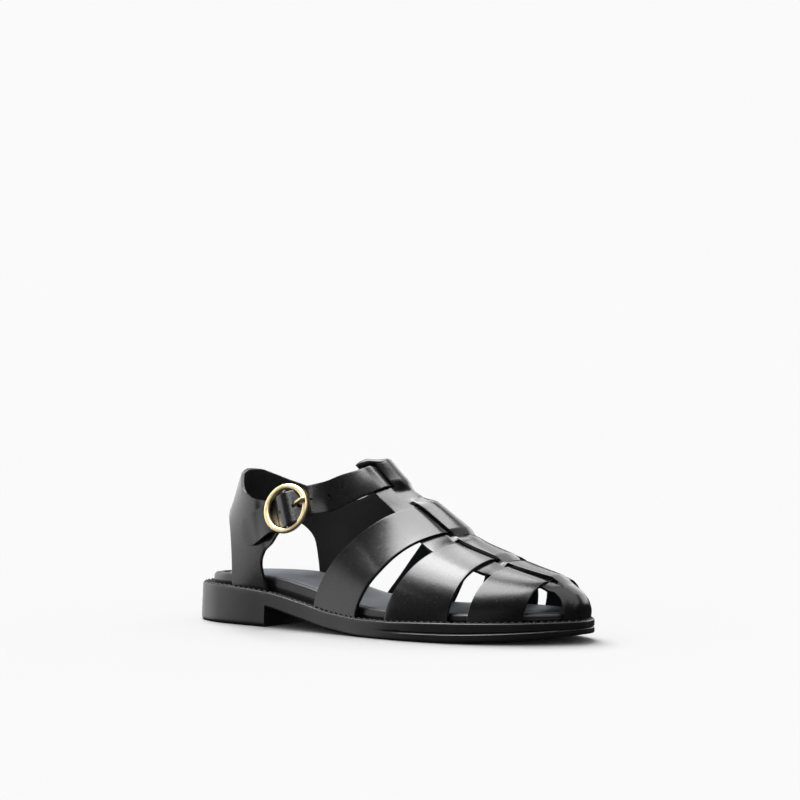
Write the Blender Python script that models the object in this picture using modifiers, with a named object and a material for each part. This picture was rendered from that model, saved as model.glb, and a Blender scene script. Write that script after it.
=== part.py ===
"""Fisherman sandal, right shoe, standing empty on its sole.

Metres, +X to the toe, +Y to the inner (medial) side, +Z up. The origin is on the floor under
the middle of the heel. Leather strips are laid over one last-shaped surface, woven through
slits in the T-bar band, and joined into one hollow upper.
"""
import math
from collections import namedtuple

import bmesh
import bpy
import numpy as np

# Driving sizes of the shoe
SHOE_LENGTH = 0.258         # sole, back of the heel to the toe tip
BALL_WIDTH = 0.088          # sole, across the ball
HEEL_HEIGHT = 0.022         # floor to the top of the sole at the heel
INSTEP_HEIGHT = 0.0945      # floor to the top strap's rear edge on the ridge
HEEL_SEAT = 0.030           # back of the sole to the origin
TOE_BEND = 0.0115           # how far the toe swings to the inner side

# Sole unit
HEEL_LENGTH = 0.063         # back of the sole to the heel breast
HEEL_BREAST = 0.0004        # run of the breast wall
HEEL_FLARE = 0.0010         # how far the heel's foot stands out at the back
SOLE_BEVEL = 0.0008
STEP_DEPTH = 0.0009         # groove round the forefoot's side
STEP_START = 0.150          # back of the sole to where the groove begins
STEP_FADE = 0.020

# Leather and its fits
LEATHER = 0.0020            # straps, band and quarter
QUARTER_LEATHER = 0.0018    # quarter and the instep strap, cut in one
TAB_LEATHER = 0.0009        # skived fold round the buckle bar
GAP = 0.0003                # between pieces that meet
LEDGE = 0.0022              # sole edge to the straps' outer face
FOOTBED_SPACE = 0.0016      # straps' inner face to the footbed's wrap

# Footbed and sock
RIM_HEIGHT = 0.0085         # wrap above the sole at the outer waist
RIM_LEAN = 0.0014
RIM_ROUND = 0.0012
RIM_WIDTH = 0.0030          # wrap's edge to the sock's edge
SOCK_THICKNESS = 0.0015
SOCK_PROUD = 0.0002
FOOTBED_CUP = 0.0018        # middle of the bed below its edges

# T-bar band
CENTRE_HALF = 0.0078        # half width of the band between its slits
SLIT_WIDTH = 0.0010
SLIT_SPARE = 0.0016         # slit past each strap edge
WEAVE_BITE = 0.0002         # crossing layers pressed into each other
WEAVE_RAMP = 0.0030
STRAP_SETTLE = 0.0120       # length over which a strap comes down off the band
BAND_ROLL = 0.0028          # radius of the rolled top end
ROLL_SPREAD = 0.6           # how much further back it lies past the slits, in BAND_ROLL

# Buckle
RING_RADIUS = 0.0130        # middle of the wire
RING_WIRE = 0.0014
BAR_RADIUS = 0.0008
PRONG_RADIUS = 0.0008
STRAP_WIDTH = 0.0170        # instep strap at the ring
TAB_HALF = 0.0082

WEAVE_RISE = LEATHER - WEAVE_BITE
TRIM = 0.0015               # leather cut off flush above the sole
TINY = 1e-9

SoleRow = namedtuple("SoleRow", "share lateral medial top waist rim")
# share of SHOE_LENGTH; half widths in BALL_WIDTH; top and waist (underside) in HEEL_HEIGHT;
# rim in RIM_HEIGHT
SOLE_ROWS = [
    SoleRow(0.00, 0.000, 0.000, 1.000, 0.590, 0.60),
    SoleRow(0.02, 0.170, 0.159, 1.000, 0.590, 0.62),
    SoleRow(0.05, 0.239, 0.239, 1.000, 0.590, 0.65),
    SoleRow(0.10, 0.300, 0.307, 1.000, 0.590, 0.72),
    SoleRow(0.18, 0.332, 0.341, 0.973, 0.590, 0.84),
    SoleRow(0.25, 0.343, 0.335, 0.914, 0.520, 0.96),
    SoleRow(0.35, 0.369, 0.307, 0.727, 0.290, 1.00),
    SoleRow(0.45, 0.418, 0.301, 0.530, 0.090, 0.86),
    SoleRow(0.55, 0.472, 0.352, 0.458, 0.000, 0.68),
    SoleRow(0.62, 0.498, 0.415, 0.458, 0.000, 0.62),
    SoleRow(0.68, 0.505, 0.460, 0.486, 0.000, 0.58),
    SoleRow(0.74, 0.494, 0.483, 0.509, 0.000, 0.55),
    SoleRow(0.80, 0.461, 0.472, 0.523, 0.020, 0.54),
    SoleRow(0.86, 0.397, 0.426, 0.536, 0.065, 0.53),
    SoleRow(0.92, 0.294, 0.341, 0.550, 0.120, 0.53),
    SoleRow(0.97, 0.164, 0.216, 0.563, 0.180, 0.53),
    SoleRow(1.00, 0.000, 0.000, 0.568, 0.225, 0.53),
]

SideRow = namedtuple("SideRow", "rise bevel step")
# rise as a share of the sole's thickness; insets in SOLE_BEVEL and STEP_DEPTH
SIDE_ROWS = [
    SideRow(0.00, 1.0, 0.0),
    SideRow(0.07, 0.0, 0.0),
    SideRow(0.41, 0.0, 0.0),
    SideRow(0.44, 0.0, 1.0),
    SideRow(0.51, 0.0, 1.0),
    SideRow(0.54, 0.0, 0.0),
    SideRow(0.93, 0.0, 0.0),
    SideRow(1.00, 1.0, 0.0),
]

FanRow = namedtuple("FanRow", "name ridge_x ridge_z lateral_x medial_x crown_l crown_m sweep band")
# x in SHOE_LENGTH, ridge_z in INSTEP_HEIGHT, band (half width) in BALL_WIDTH; crown is the
# roundness of each side, sweep how soon the outer side leans back
FAN_ROWS = [
    FanRow("instep rear", 0.490, 1.000, 0.271, 0.233, 1.70, 1.90, 0.90, 0.185),
    FanRow("instep front", 0.538, 0.880, 0.349, 0.349, 1.75, 2.00, 0.90, 0.205),
    FanRow("third rear", 0.615, 0.757, 0.390, 0.414, 1.80, 2.10, 0.90, 0.250),
    FanRow("third front", 0.692, 0.613, 0.518, 0.581, 1.85, 2.10, 0.90, 0.290),
    FanRow("second rear", 0.718, 0.553, 0.605, 0.628, 1.90, 2.10, 0.90, 0.280),
    FanRow("second front", 0.800, 0.469, 0.762, 0.781, 2.00, 2.10, 0.90, 0.275),
    FanRow("first rear", 0.836, 0.430, 0.805, 0.803, 2.00, 2.10, 0.90, 0.250),
    FanRow("first front", 0.931, 0.361, 0.908, 0.916, 2.10, 2.00, 0.80, 0.159),
    FanRow("toe rear", 0.960, 0.333, 0.9720, 0.9695, 2.10, 2.10, 0.50, None),
    FanRow("toe brow", 0.984, 0.280, 0.9780, 0.9755, 2.10, 2.10, 0.20, None),
    FanRow("toe front", 0.993, 0.212, 0.9830, 0.9810, 2.10, 2.10, 0.00, None),
]
RIDGE_LEAN = (0.26, 0.74)   # ridge offset in TOE_BEND, at the instep and gained by the toe

QuarterRow = namedtuple("QuarterRow", "name ux uy uz lx ly lz bulge")
# upper and lower edge; x in SHOE_LENGTH, y in BALL_WIDTH, z in INSTEP_HEIGHT, and a lower z
# of 0 stands for the sole's ledge; bulge at half width in LEATHER
QUARTER_ROWS = [
    QuarterRow("inner instep", 0.467, 0.190, 0.878, 0.514, 0.193, 0.735, 0.3),
    QuarterRow("inner front", 0.434, 0.212, 0.834, 0.481, 0.225, 0.628, 0.6),
    QuarterRow("inner front low", 0.403, 0.230, 0.801, 0.438, 0.258, 0.480, 0.8),
    QuarterRow("above the arch", 0.376, 0.247, 0.772, 0.393, 0.276, 0.325, 0.8),
    QuarterRow("leg front corner", 0.353, 0.262, 0.754, 0.353, 0.284, 0.000, 0.8),
    QuarterRow("leg foot", 0.322, 0.281, 0.743, 0.295, 0.290, 0.000, 0.6),
    QuarterRow("leg rear corner", 0.291, 0.293, 0.746, 0.238, 0.300, 0.000, 0.5),
    QuarterRow("opening low", 0.260, 0.298, 0.758, 0.232, 0.298, 0.350, 0.5),
    QuarterRow("opening high", 0.229, 0.296, 0.788, 0.222, 0.302, 0.487, 0.5),
    QuarterRow("opening top", 0.198, 0.290, 0.820, 0.190, 0.298, 0.577, 0.4),
    QuarterRow("inner ankle", 0.159, 0.267, 0.857, 0.147, 0.273, 0.622, 0.4),
    QuarterRow("inner heel", 0.128, 0.195, 0.900, 0.107, 0.206, 0.656, 0.4),
    QuarterRow("heel turn", 0.112, 0.100, 0.928, 0.084, 0.108, 0.683, 0.5),
    QuarterRow("heel back", 0.108, -0.010, 0.935, 0.079, -0.010, 0.690, 0.5),
    QuarterRow("outer turn", 0.116, -0.105, 0.912, 0.087, -0.118, 0.672, 0.5),
    QuarterRow("outer heel", 0.124, -0.148, 0.890, 0.108, -0.212, 0.620, 0.4),
    QuarterRow("outer ankle", 0.133, -0.181, 0.867, 0.126, -0.266, 0.525, 0.4),
    QuarterRow("leg rear edge", 0.140, -0.206, 0.848, 0.137, -0.296, 0.390, 0.4),
    QuarterRow("leg rear foot", 0.147, -0.223, 0.831, 0.143, -0.316, 0.000, 0.4),
    QuarterRow("leg foot", 0.154, -0.236, 0.819, 0.194, -0.318, 0.000, 0.4),
    QuarterRow("leg front foot", 0.161, -0.249, 0.808, 0.247, -0.321, 0.000, 0.4),
    QuarterRow("leg front edge", 0.175, -0.264, 0.795, 0.233, -0.325, 0.376, 0.4),
    QuarterRow("leg front turn", 0.200, -0.289, 0.776, 0.243, -0.332, 0.458, 0.4),
    QuarterRow("leg front high", 0.226, -0.302, 0.768, 0.266, -0.348, 0.514, 0.3),
]

BucklePlace = namedtuple("BucklePlace", "x y z azimuth tilt slope")
# outer face of the quarter under the ring's centre, in the three sizes above, and degrees
BUCKLE = BucklePlace(0.310, -0.312, 0.718, 3.6, 17.0, 25.0)
RING_LIFT = QUARTER_LEATHER + 2 * GAP + RING_WIRE
BAR_LIFT = RING_LIFT - RING_WIRE + BAR_RADIUS - LEATHER * 0.3
SLEEVE_RADIUS = BAR_RADIUS + GAP + TAB_LEATHER
BULGE_LIFT = BAR_LIFT + SLEEVE_RADIUS + GAP + QUARTER_LEATHER
STRAP_LIFT = GAP + QUARTER_LEATHER
STRAP_SLACK = 0.0002        # free end over the quarter's curve

StrapRow = namedtuple("StrapRow", "along lift half")
# instep strap in the buckle's own plane; along in RING_RADIUS from the bar to the instep,
# lift from STRAP_LIFT (0) to BULGE_LIFT (1), half in half STRAP_WIDTH
STRAP_ROWS = [
    StrapRow(-2.72, 0.00, 0.30),
    StrapRow(-2.67, 0.00, 0.62),
    StrapRow(-2.51, 0.00, 0.85),
    StrapRow(-2.24, 0.00, 1.00),
    StrapRow(-1.93, 0.00, 1.00),
    StrapRow(-1.64, 0.00, 1.00),
    StrapRow(-1.38, 0.00, 1.00),
    StrapRow(-1.12, 0.00, 1.00),
    StrapRow(-0.86, 0.00, 1.00),
    StrapRow(-0.60, 0.02, 1.00),
    StrapRow(-0.40, 0.50, 1.00),
    StrapRow(-0.18, 0.93, 1.00),
    StrapRow(0.00, 1.00, 1.00),
    StrapRow(0.18, 0.93, 1.00),
    StrapRow(0.34, 0.66, 1.00),
    StrapRow(0.60, 0.02, 1.00),
    StrapRow(0.86, 0.00, 1.00),
    StrapRow(1.16, 0.00, 1.00),
]
HOLE_ROW = 14               # strap row at which the prong's hole begins
HOLE_HALF = 0.0014

TabRow = namedtuple("TabRow", "along half lift")
# front of the quarter up to the bar; along in RING_RADIUS, half in TAB_HALF, lift in BAR_LIFT
TAB_ROWS = [
    TabRow(-0.95, 1.30, 0.00),
    TabRow(-0.62, 1.10, 0.10),
    TabRow(-0.33, 1.00, 0.55),
    TabRow(-0.12, 1.00, 1.15),
]

ProngRow = namedtuple("ProngRow", "along lift")
# middle of the prong from the bar to its tip on the ring; in RING_RADIUS and RING_LIFT
PRONG_ROWS = [
    ProngRow(0.115, 0.58),
    ProngRow(0.26, 0.46),
    ProngRow(0.38, 0.53),
    ProngRow(0.51, 0.92),
    ProngRow(0.63, 1.32),
    ProngRow(0.81, 1.58),
    ProngRow(1.01, 1.69),
    ProngRow(1.15, 1.69),
]

InstepRow = namedtuple("InstepRow", "ux uy uz lx ly lz")
# instep strap between the ring and the band, same sizes as the quarter
INSTEP_ROWS = [
    InstepRow(0.384, -0.217, 0.895, 0.401, -0.248, 0.715),
    InstepRow(0.412, -0.152, 0.934, 0.436, -0.172, 0.769),
]


def smooth(xs, ys, x):
    """Smooth curve through the rows, whose slopes never overshoot them."""
    xs = np.asarray(xs, float)
    ys = np.asarray(ys, float)
    x = np.clip(np.asarray(x, float), xs[0], xs[-1])
    run = np.diff(xs)
    rise = np.diff(ys, axis=0)
    run_shape = run.reshape((-1,) + (1,) * (ys.ndim - 1))
    slope = rise / run_shape
    tangent = np.zeros_like(ys)
    tangent[0] = slope[0]
    tangent[-1] = slope[-1]
    product = slope[:-1] * slope[1:]
    total = np.where(np.abs(slope[:-1] + slope[1:]) < TINY, 1.0, slope[:-1] + slope[1:])
    tangent[1:-1] = np.where(product > 0, 2 * product / total, 0.0)
    k = np.clip(np.searchsorted(xs, x, side="right") - 1, 0, len(run) - 1)
    t = (x - xs[k]) / run[k]
    step = run[k]
    if ys.ndim > 1:
        t = t[..., None]
        step = step[..., None]
    low = ys[k] * (1 + 2 * t) * (1 - t) ** 2 + tangent[k] * step * t * (1 - t) ** 2
    high = ys[k + 1] * t ** 2 * (3 - 2 * t) + tangent[k + 1] * step * t ** 2 * (t - 1)
    return low + high


def ease(x):
    """0 below 0, 1 above 1, and a soft step between."""
    x = np.clip(x, 0.0, 1.0)
    return x * x * (3 - 2 * x)


SHARES = [row.share for row in SOLE_ROWS]
TURNS = [math.acos(1 - 2 * share) for share in SHARES]


def across(turn, side):
    """Half width of the sole at a turn from the back (0) to the toe (pi)."""
    widths = [row.lateral if side < 0 else row.medial for row in SOLE_ROWS]
    return smooth(TURNS, widths, turn) * BALL_WIDTH


def toe_swing(x):
    """Centre line's offset to the inner side at x."""
    share = (x + HEEL_SEAT) / SHOE_LENGTH
    return TOE_BEND * np.clip((share - 0.3) / 0.7, 0.0, 1.0) ** 2


def sole_height(x, column):
    """Height of the sole's top, waist or rim at x, in its own size."""
    share = (np.asarray(x) + HEEL_SEAT) / SHOE_LENGTH
    return smooth(SHARES, [getattr(row, column) for row in SOLE_ROWS], share)


def sole_top(x):
    return sole_height(x, "top") * HEEL_HEIGHT


def side_line(side, turns, inset):
    """Sole edge on one side, moved in by inset."""
    step = 1e-4

    def at(turn):
        turn = np.abs(turn)
        over = turn > math.pi
        turn = np.where(over, 2 * math.pi - turn, turn)
        x = (1 - np.cos(turn)) / 2 * SHOE_LENGTH - HEEL_SEAT
        y = across(turn, side) * side
        return x, y, over

    turns = np.asarray(turns, float)
    x0, y0, before = at(turns - step)
    x1, y1, after = at(turns + step)
    y0 = np.where(turns < step, -y0, y0)
    y1 = np.where(after, -y1, y1)
    y0 = y0 + toe_swing(x0)
    y1 = y1 + toe_swing(x1)
    length = np.hypot(x1 - x0, y1 - y0)
    nx = (y1 - y0) / length * side
    ny = -(x1 - x0) / length * side
    x, y, _ = at(turns)
    return x + nx * inset, y + toe_swing(x) + ny * inset


def add_mesh(name, build):
    """Object whose mesh is filled by a function that takes a bmesh."""
    mesh = bpy.data.meshes.new(name)
    work = bmesh.new()
    build(work)
    work.to_mesh(mesh)
    work.free()
    thing = bpy.data.objects.new(name, mesh)
    return thing


SOLE_STEPS = 38
BREAST_TURN = math.acos(1 - 2 * HEEL_LENGTH / SHOE_LENGTH)
BREAST_END_TURN = math.acos(1 - 2 * (HEEL_LENGTH + HEEL_BREAST) / SHOE_LENGTH)
PLAIN_TURNS = [math.pi * k / SOLE_STEPS for k in range(SOLE_STEPS + 1)]


def split_turns():
    """Stations along the sole, with a pair of them at the heel breast."""
    clear = 0.4 * math.pi / SOLE_STEPS
    kept = [t for t in PLAIN_TURNS if abs(t - BREAST_TURN) > clear]
    return sorted(kept + [BREAST_TURN, BREAST_END_TURN])


def rounded_slab(name, turns, levels, low_bed, high_bed, columns):
    """Closed solid with the shoe's outline: levels give its wall, beds its two faces.

    A level is a function of (turns, side) that gives x, y and z. A bed is a function of the
    point straight across, the share across and the station, and gives its height.
    """
    last = len(turns) - 1

    def build(work):
        rings = []
        for level in levels:
            ring = {}
            for side in (-1, 1):
                x, y, z = level(np.array(turns), side)
                for k in range(len(turns)):
                    if k in (0, last) and side == 1:
                        ring[side, k] = ring[-1, k]
                    else:
                        ring[side, k] = work.verts.new((x[k], y[k], z[k]))
            rings.append(ring)
        for low, high in zip(rings, rings[1:]):
            for side in (-1, 1):
                for k in range(last):
                    quad = [low[side, k], low[side, k + 1], high[side, k + 1], high[side, k]]
                    work.faces.new(quad if side < 0 else quad[::-1])
        for ring, bed, up in ((rings[0], low_bed, False), (rings[-1], high_bed, True)):
            rows = []
            for k in range(len(turns)):
                a = ring[-1, k]
                b = ring[1, k]
                if k in (0, last):
                    rows.append([a] * (columns + 1))
                    continue
                row = [a]
                for c in range(1, columns):
                    f = c / columns
                    point = a.co.lerp(b.co, f)
                    point.z = bed(point, f, turns[k])
                    row.append(work.verts.new(point))
                row.append(b)
                rows.append(row)
            for k in range(last):
                for c in range(columns):
                    quad = [rows[k][c], rows[k + 1][c], rows[k + 1][c + 1], rows[k][c + 1]]
                    face = []
                    for vert in quad:
                        if vert not in face:
                            face.append(vert)
                    if len(face) > 2:
                        work.faces.new(face if up else face[::-1])

    return add_mesh(name, build)


def sole_bottom(x):
    """Underside: the heel block to the breast, then the waist and the forefoot's tread."""
    past = (np.asarray(x) + HEEL_SEAT - HEEL_LENGTH) / HEEL_BREAST
    return sole_height(x, "waist") * HEEL_HEIGHT * np.clip(past, 0.0, 1.0)


def make_outsole():
    def wall(row):
        def level(turns, side):
            x, y = side_line(side, turns, 0.0)
            fade = ease((x + HEEL_SEAT - STEP_START) / STEP_FADE)
            back = ease(1 - (x + HEEL_SEAT) / HEEL_LENGTH) * (1 - row.rise)
            inset = row.bevel * SOLE_BEVEL + row.step * STEP_DEPTH * fade - HEEL_FLARE * back
            inner_x, inner_y = side_line(side, turns, inset)
            low = sole_bottom(x)
            return inner_x, inner_y, low + (sole_top(x) - low) * row.rise
        return level

    def flat_low(point, share, turn):
        return point.z

    return rounded_slab("outsole", split_turns(), [wall(row) for row in SIDE_ROWS],
                        flat_low, flat_low, 1)


FOOTBED_INSET = LEDGE + LEATHER + FOOTBED_SPACE


def rim_top(x):
    return sole_top(x) + sole_height(x, "rim") * RIM_HEIGHT


def sock_floor(x, share):
    """Floor of the footbed's recess: cupped between the two rims."""
    cup = FOOTBED_CUP * (1 - (2 * share - 1) ** 2)
    return rim_top(x) - SOCK_THICKNESS - GAP + SOCK_PROUD - cup


def make_footbed():
    def outer(inset, height):
        def level(turns, side):
            x, y = side_line(side, turns, FOOTBED_INSET + inset)
            return x, y, height(x)
        return level

    def foot(x):
        return sole_top(x) + GAP

    def shoulder(x):
        return rim_top(x) - RIM_ROUND

    def low_bed(point, share, turn):
        return float(foot(point.x))

    def high_bed(point, share, turn):
        return float(sock_floor(point.x, share))

    levels = [
        outer(0.0, foot),
        outer(RIM_LEAN * 0.6, shoulder),
        outer(RIM_LEAN + RIM_ROUND * 0.3, lambda x: rim_top(x) - RIM_ROUND * 0.3),
        outer(RIM_LEAN + RIM_ROUND, rim_top),
        outer(RIM_WIDTH, lambda x: rim_top(x) - RIM_ROUND * 0.2),
        outer(RIM_WIDTH + RIM_ROUND * 0.2, lambda x: sock_floor(x, 0.0)),
    ]
    return rounded_slab("footbed", PLAIN_TURNS, levels, low_bed, high_bed, 4)


def make_sock():
    clear = RIM_WIDTH + RIM_ROUND * 0.2 + GAP

    def edge(inset, lift):
        def level(turns, side):
            x, y = side_line(side, turns, FOOTBED_INSET + clear + inset)
            return x, y, sock_floor(x, 0.0) + lift
        return level

    def low_bed(point, share, turn):
        return float(sock_floor(point.x, share)) + GAP

    def high_bed(point, share, turn):
        return float(sock_floor(point.x, share)) + GAP + SOCK_THICKNESS

    levels = [
        edge(0.0, GAP),
        edge(0.0, GAP + SOCK_THICKNESS * 0.7),
        edge(SOCK_THICKNESS * 0.4, GAP + SOCK_THICKNESS),
    ]
    return rounded_slab("sock_lining", PLAIN_TURNS, levels, low_bed, high_bed, 4)


DENSE_TURNS = np.linspace(0.0, math.pi, 241)
LEDGE_LINES = {side: side_line(side, DENSE_TURNS, LEDGE) for side in (-1, 1)}


def on_ledge(x, side):
    """Point of the straps' outer line on the sole's ledge."""
    xs, ys = LEDGE_LINES[side]
    return np.array([x, float(np.interp(x, xs, ys)), float(sole_top(x))])


FAN_SAMPLES = 48
SIDE_SHARES = np.linspace(-1.0, 1.0, 2 * FAN_SAMPLES + 1)


def fan_section(row):
    """Outer face of one strap edge: base, ridge, base, in even steps along the leather."""
    ridge_x = row.ridge_x * SHOE_LENGTH - HEEL_SEAT
    start = FAN_ROWS[0].ridge_x
    gained = (row.ridge_x - start) / (1 - start)
    ridge_y = TOE_BEND * (RIDGE_LEAN[0] + RIDGE_LEAN[1] * gained)
    ridge = np.array([ridge_x, ridge_y, row.ridge_z * INSTEP_HEIGHT])
    halves = []
    for side, share, crown in ((-1, row.lateral_x, row.crown_l), (1, row.medial_x, row.crown_m)):
        base = on_ledge(share * SHOE_LENGTH - HEEL_SEAT, side)
        angle = np.linspace(0.0, math.pi / 2, 3 * FAN_SAMPLES)
        out = np.sin(angle) ** (2 / crown)
        up = np.maximum(np.cos(angle), 0.0) ** (2 / crown)
        sweep = row.sweep if side < 0 else 0.0
        lean = sweep * out + (1 - sweep) * (1 - up)
        steps = np.stack([lean, out, 1 - up], axis=1)
        line = ridge + steps * (base - ridge)
        halves.append(even_steps(line, FAN_SAMPLES))
    return np.concatenate([halves[0][:0:-1], halves[1]])


def even_steps(line, count):
    """The same line with count even steps along its length."""
    length = np.concatenate([[0.0], np.cumsum(np.linalg.norm(np.diff(line, axis=0), axis=1))])
    wanted = np.linspace(0.0, length[-1], count + 1)
    return np.stack([np.interp(wanted, length, line[:, k]) for k in range(3)], axis=1)


def toe_base():
    """The last section: the ledge line round the toe, from one corner of the toe piece."""
    onward = (FAN_ROWS[-1].lateral_x - FAN_ROWS[-2].lateral_x) * SHOE_LENGTH * 0.7
    x_lateral = FAN_ROWS[-1].lateral_x * SHOE_LENGTH - HEEL_SEAT + onward
    x_medial = FAN_ROWS[-1].medial_x * SHOE_LENGTH - HEEL_SEAT + onward
    outer = np.stack(LEDGE_LINES[-1], axis=1)
    inner = np.stack(LEDGE_LINES[1], axis=1)
    outer = outer[outer[:, 0] > x_lateral]
    inner = inner[inner[:, 0] > x_medial][::-1]
    flat = np.concatenate([[on_ledge(x_lateral, -1)[:2]], outer, inner,
                           [on_ledge(x_medial, 1)[:2]]])
    line = np.concatenate([flat, sole_top(flat[:, :1])], axis=1)
    return even_steps(line, 2 * FAN_SAMPLES)


FAN = np.stack([fan_section(row) for row in FAN_ROWS] + [toe_base()])
FAN_STATIONS = np.arange(len(FAN), dtype=float)
TOE_REAR = 8
ARCS = np.array([[np.linalg.norm(np.diff(line[:FAN_SAMPLES + 1], axis=0), axis=1).sum(),
                  np.linalg.norm(np.diff(line[FAN_SAMPLES:], axis=0), axis=1).sum()]
                 for line in FAN])


def fan_point(station, share):
    """Point of the last surface at a station and a share of its side, -1 to 1."""
    line = smooth(FAN_STATIONS, FAN, np.array([station]))[0]
    return np.stack([np.interp(share, SIDE_SHARES, line[:, k]) for k in range(3)], axis=-1)


def fan_normal(station, share):
    step = 0.02
    a = np.clip(station - step, 0, FAN_STATIONS[-1])
    b = np.clip(station + step, 0, FAN_STATIONS[-1])
    along = fan_point(b, share) - fan_point(a, share)
    low = np.clip(share - step, -1, 1)
    high = np.clip(share + step, -1, 1)
    over = fan_point(station, high) - fan_point(station, low)
    normal = np.cross(along, over)
    length = np.linalg.norm(normal, axis=-1, keepdims=True)
    return normal / np.maximum(length, TINY)


def side_arc(station, side):
    return float(smooth(FAN_STATIONS, ARCS, np.array([station]))[0][0 if side < 0 else 1])


def band_half(station):
    """Half width of the T-bar band, which flares to the whole toe piece."""
    known = [row.band for row in FAN_ROWS[:TOE_REAR]]
    return float(smooth(FAN_STATIONS[:TOE_REAR], known, np.array([station]))[0]) * BALL_WIDTH


def fan_surface(stations, shares, heights):
    """Grid of points: stations by shares, each lifted off the last surface."""
    grid = np.zeros((len(stations), len(shares[0]), 3))
    for i, station in enumerate(stations):
        grid[i] = fan_point(station, shares[i])
        grid[i] += fan_normal(station, shares[i]) * heights[i][:, None]
    return grid


def sheet(name, grid, thickness, skip=(), even=True):
    """Leather cut to a grid of points on its outer face; skip lists the cells cut out."""
    def build(work):
        verts = [[work.verts.new(point) for point in row] for row in grid]
        for i in range(len(grid) - 1):
            for j in range(len(grid[0]) - 1):
                if (i, j) in skip:
                    continue
                work.faces.new([verts[i][j], verts[i + 1][j], verts[i + 1][j + 1], verts[i][j + 1]])
        loose = [vert for vert in work.verts if not vert.link_faces]
        bmesh.ops.delete(work, geom=loose, context="VERTS")

    thing = add_mesh(name, build)
    solid = thing.modifiers.new("thickness", "SOLIDIFY")
    solid.thickness = thickness
    solid.offset = -1.0
    solid.use_even_offset = even
    solid.thickness_clamp = 0.0
    return thing


def near_ridge(band):
    """Distances from the ridge at which the band and the straps have their folds."""
    return [0.0, CENTRE_HALF - WEAVE_RAMP, CENTRE_HALF, CENTRE_HALF + SLIT_WIDTH,
            CENTRE_HALF + SLIT_WIDTH + WEAVE_RAMP, band]


def both_sides(station, distances):
    """Shares across a section from the distances on each side, outer side first."""
    outer = [-d / side_arc(station, -1) for d in distances(station, -1)[:0:-1]]
    inner = [d / side_arc(station, 1) for d in distances(station, 1)]
    return np.array(outer + inner)


STRAP_STEPS = 5
UNDER_BAND = 0.0009         # strap's face under the middle of the band
BAND_RISE = 0.0024          # band's face over the straps


def strap_distances(station, side):
    """Fold lines of a cross strap on one side, ridge to sole."""
    band = band_half(station)
    folds = near_ridge(band)
    settled = band + STRAP_SETTLE
    rest = np.linspace(settled, side_arc(station, side), STRAP_STEPS + 1)
    return [folds[0], folds[1], (folds[2] + folds[3]) / 2, folds[4], band + SLIT_WIDTH] + list(rest)


STRAP_HEIGHTS = [UNDER_BAND, UNDER_BAND, WEAVE_RISE * 0.7, WEAVE_RISE, WEAVE_RISE]


def make_strap(name, rear):
    """Cross strap between the fan rows rear and rear + 1, from ledge to ledge."""
    stations = [rear, rear + 0.25, rear + 0.5, rear + 0.75, rear + 1.0]
    shares = []
    heights = []
    one_side = STRAP_HEIGHTS + [0.0] * (STRAP_STEPS + 1)
    for station in stations:
        shares.append(both_sides(station, strap_distances))
        heights.append(np.array(one_side[:0:-1] + one_side))
    grid = fan_surface(stations, shares, heights)
    return sheet(name, with_feet(grid), LEATHER)


def with_feet(grid):
    """Grid with its two ends carried on below the sole's top, to be trimmed flush."""
    drop = np.array([0.0, 0.0, -TRIM])
    return np.concatenate([grid[:, :1] + drop, grid, grid[:, -1:] + drop], axis=1)


BAND_THIRDS = (1 / 3, 2 / 3)
TOE_EDGE = [(0.0, 0.36), (0.45, 0.40), (0.8, 0.54)]
# the toe piece's rear edge: stations past the first strap, share of the section
SLIT_COLUMN = 2


def band_distances(station, side):
    """Fold lines of the T-bar band on one side, ridge to its edge."""
    arc = side_arc(station, side)
    if station <= TOE_REAR - 1:
        edge = band_half(station)
    else:
        past, reach = zip(*TOE_EDGE)
        onward = station - (TOE_REAR - 1)
        edge = arc * (float(smooth(past, reach, onward)) if onward <= past[-1] else 1.0)
    folds = near_ridge(0.0)[:-1]
    squeeze = min(1.0, 0.62 * edge / folds[-1])
    folds = [fold * squeeze for fold in folds]
    thirds = [folds[-1] + (edge - folds[-1]) * share for share in BAND_THIRDS]
    return folds + thirds + [edge]


def ridge_step(station, distance):
    """Share of a station that the distance along the ridge takes up."""
    a = fan_point(math.floor(station), np.array([0.0]))
    b = fan_point(math.floor(station) + 1, np.array([0.0]))
    return distance / float(np.linalg.norm(b - a))


BAND_RAMP = 0.0042
TOE_ROWS = 7
ROLL_TURNS = 5


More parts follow.
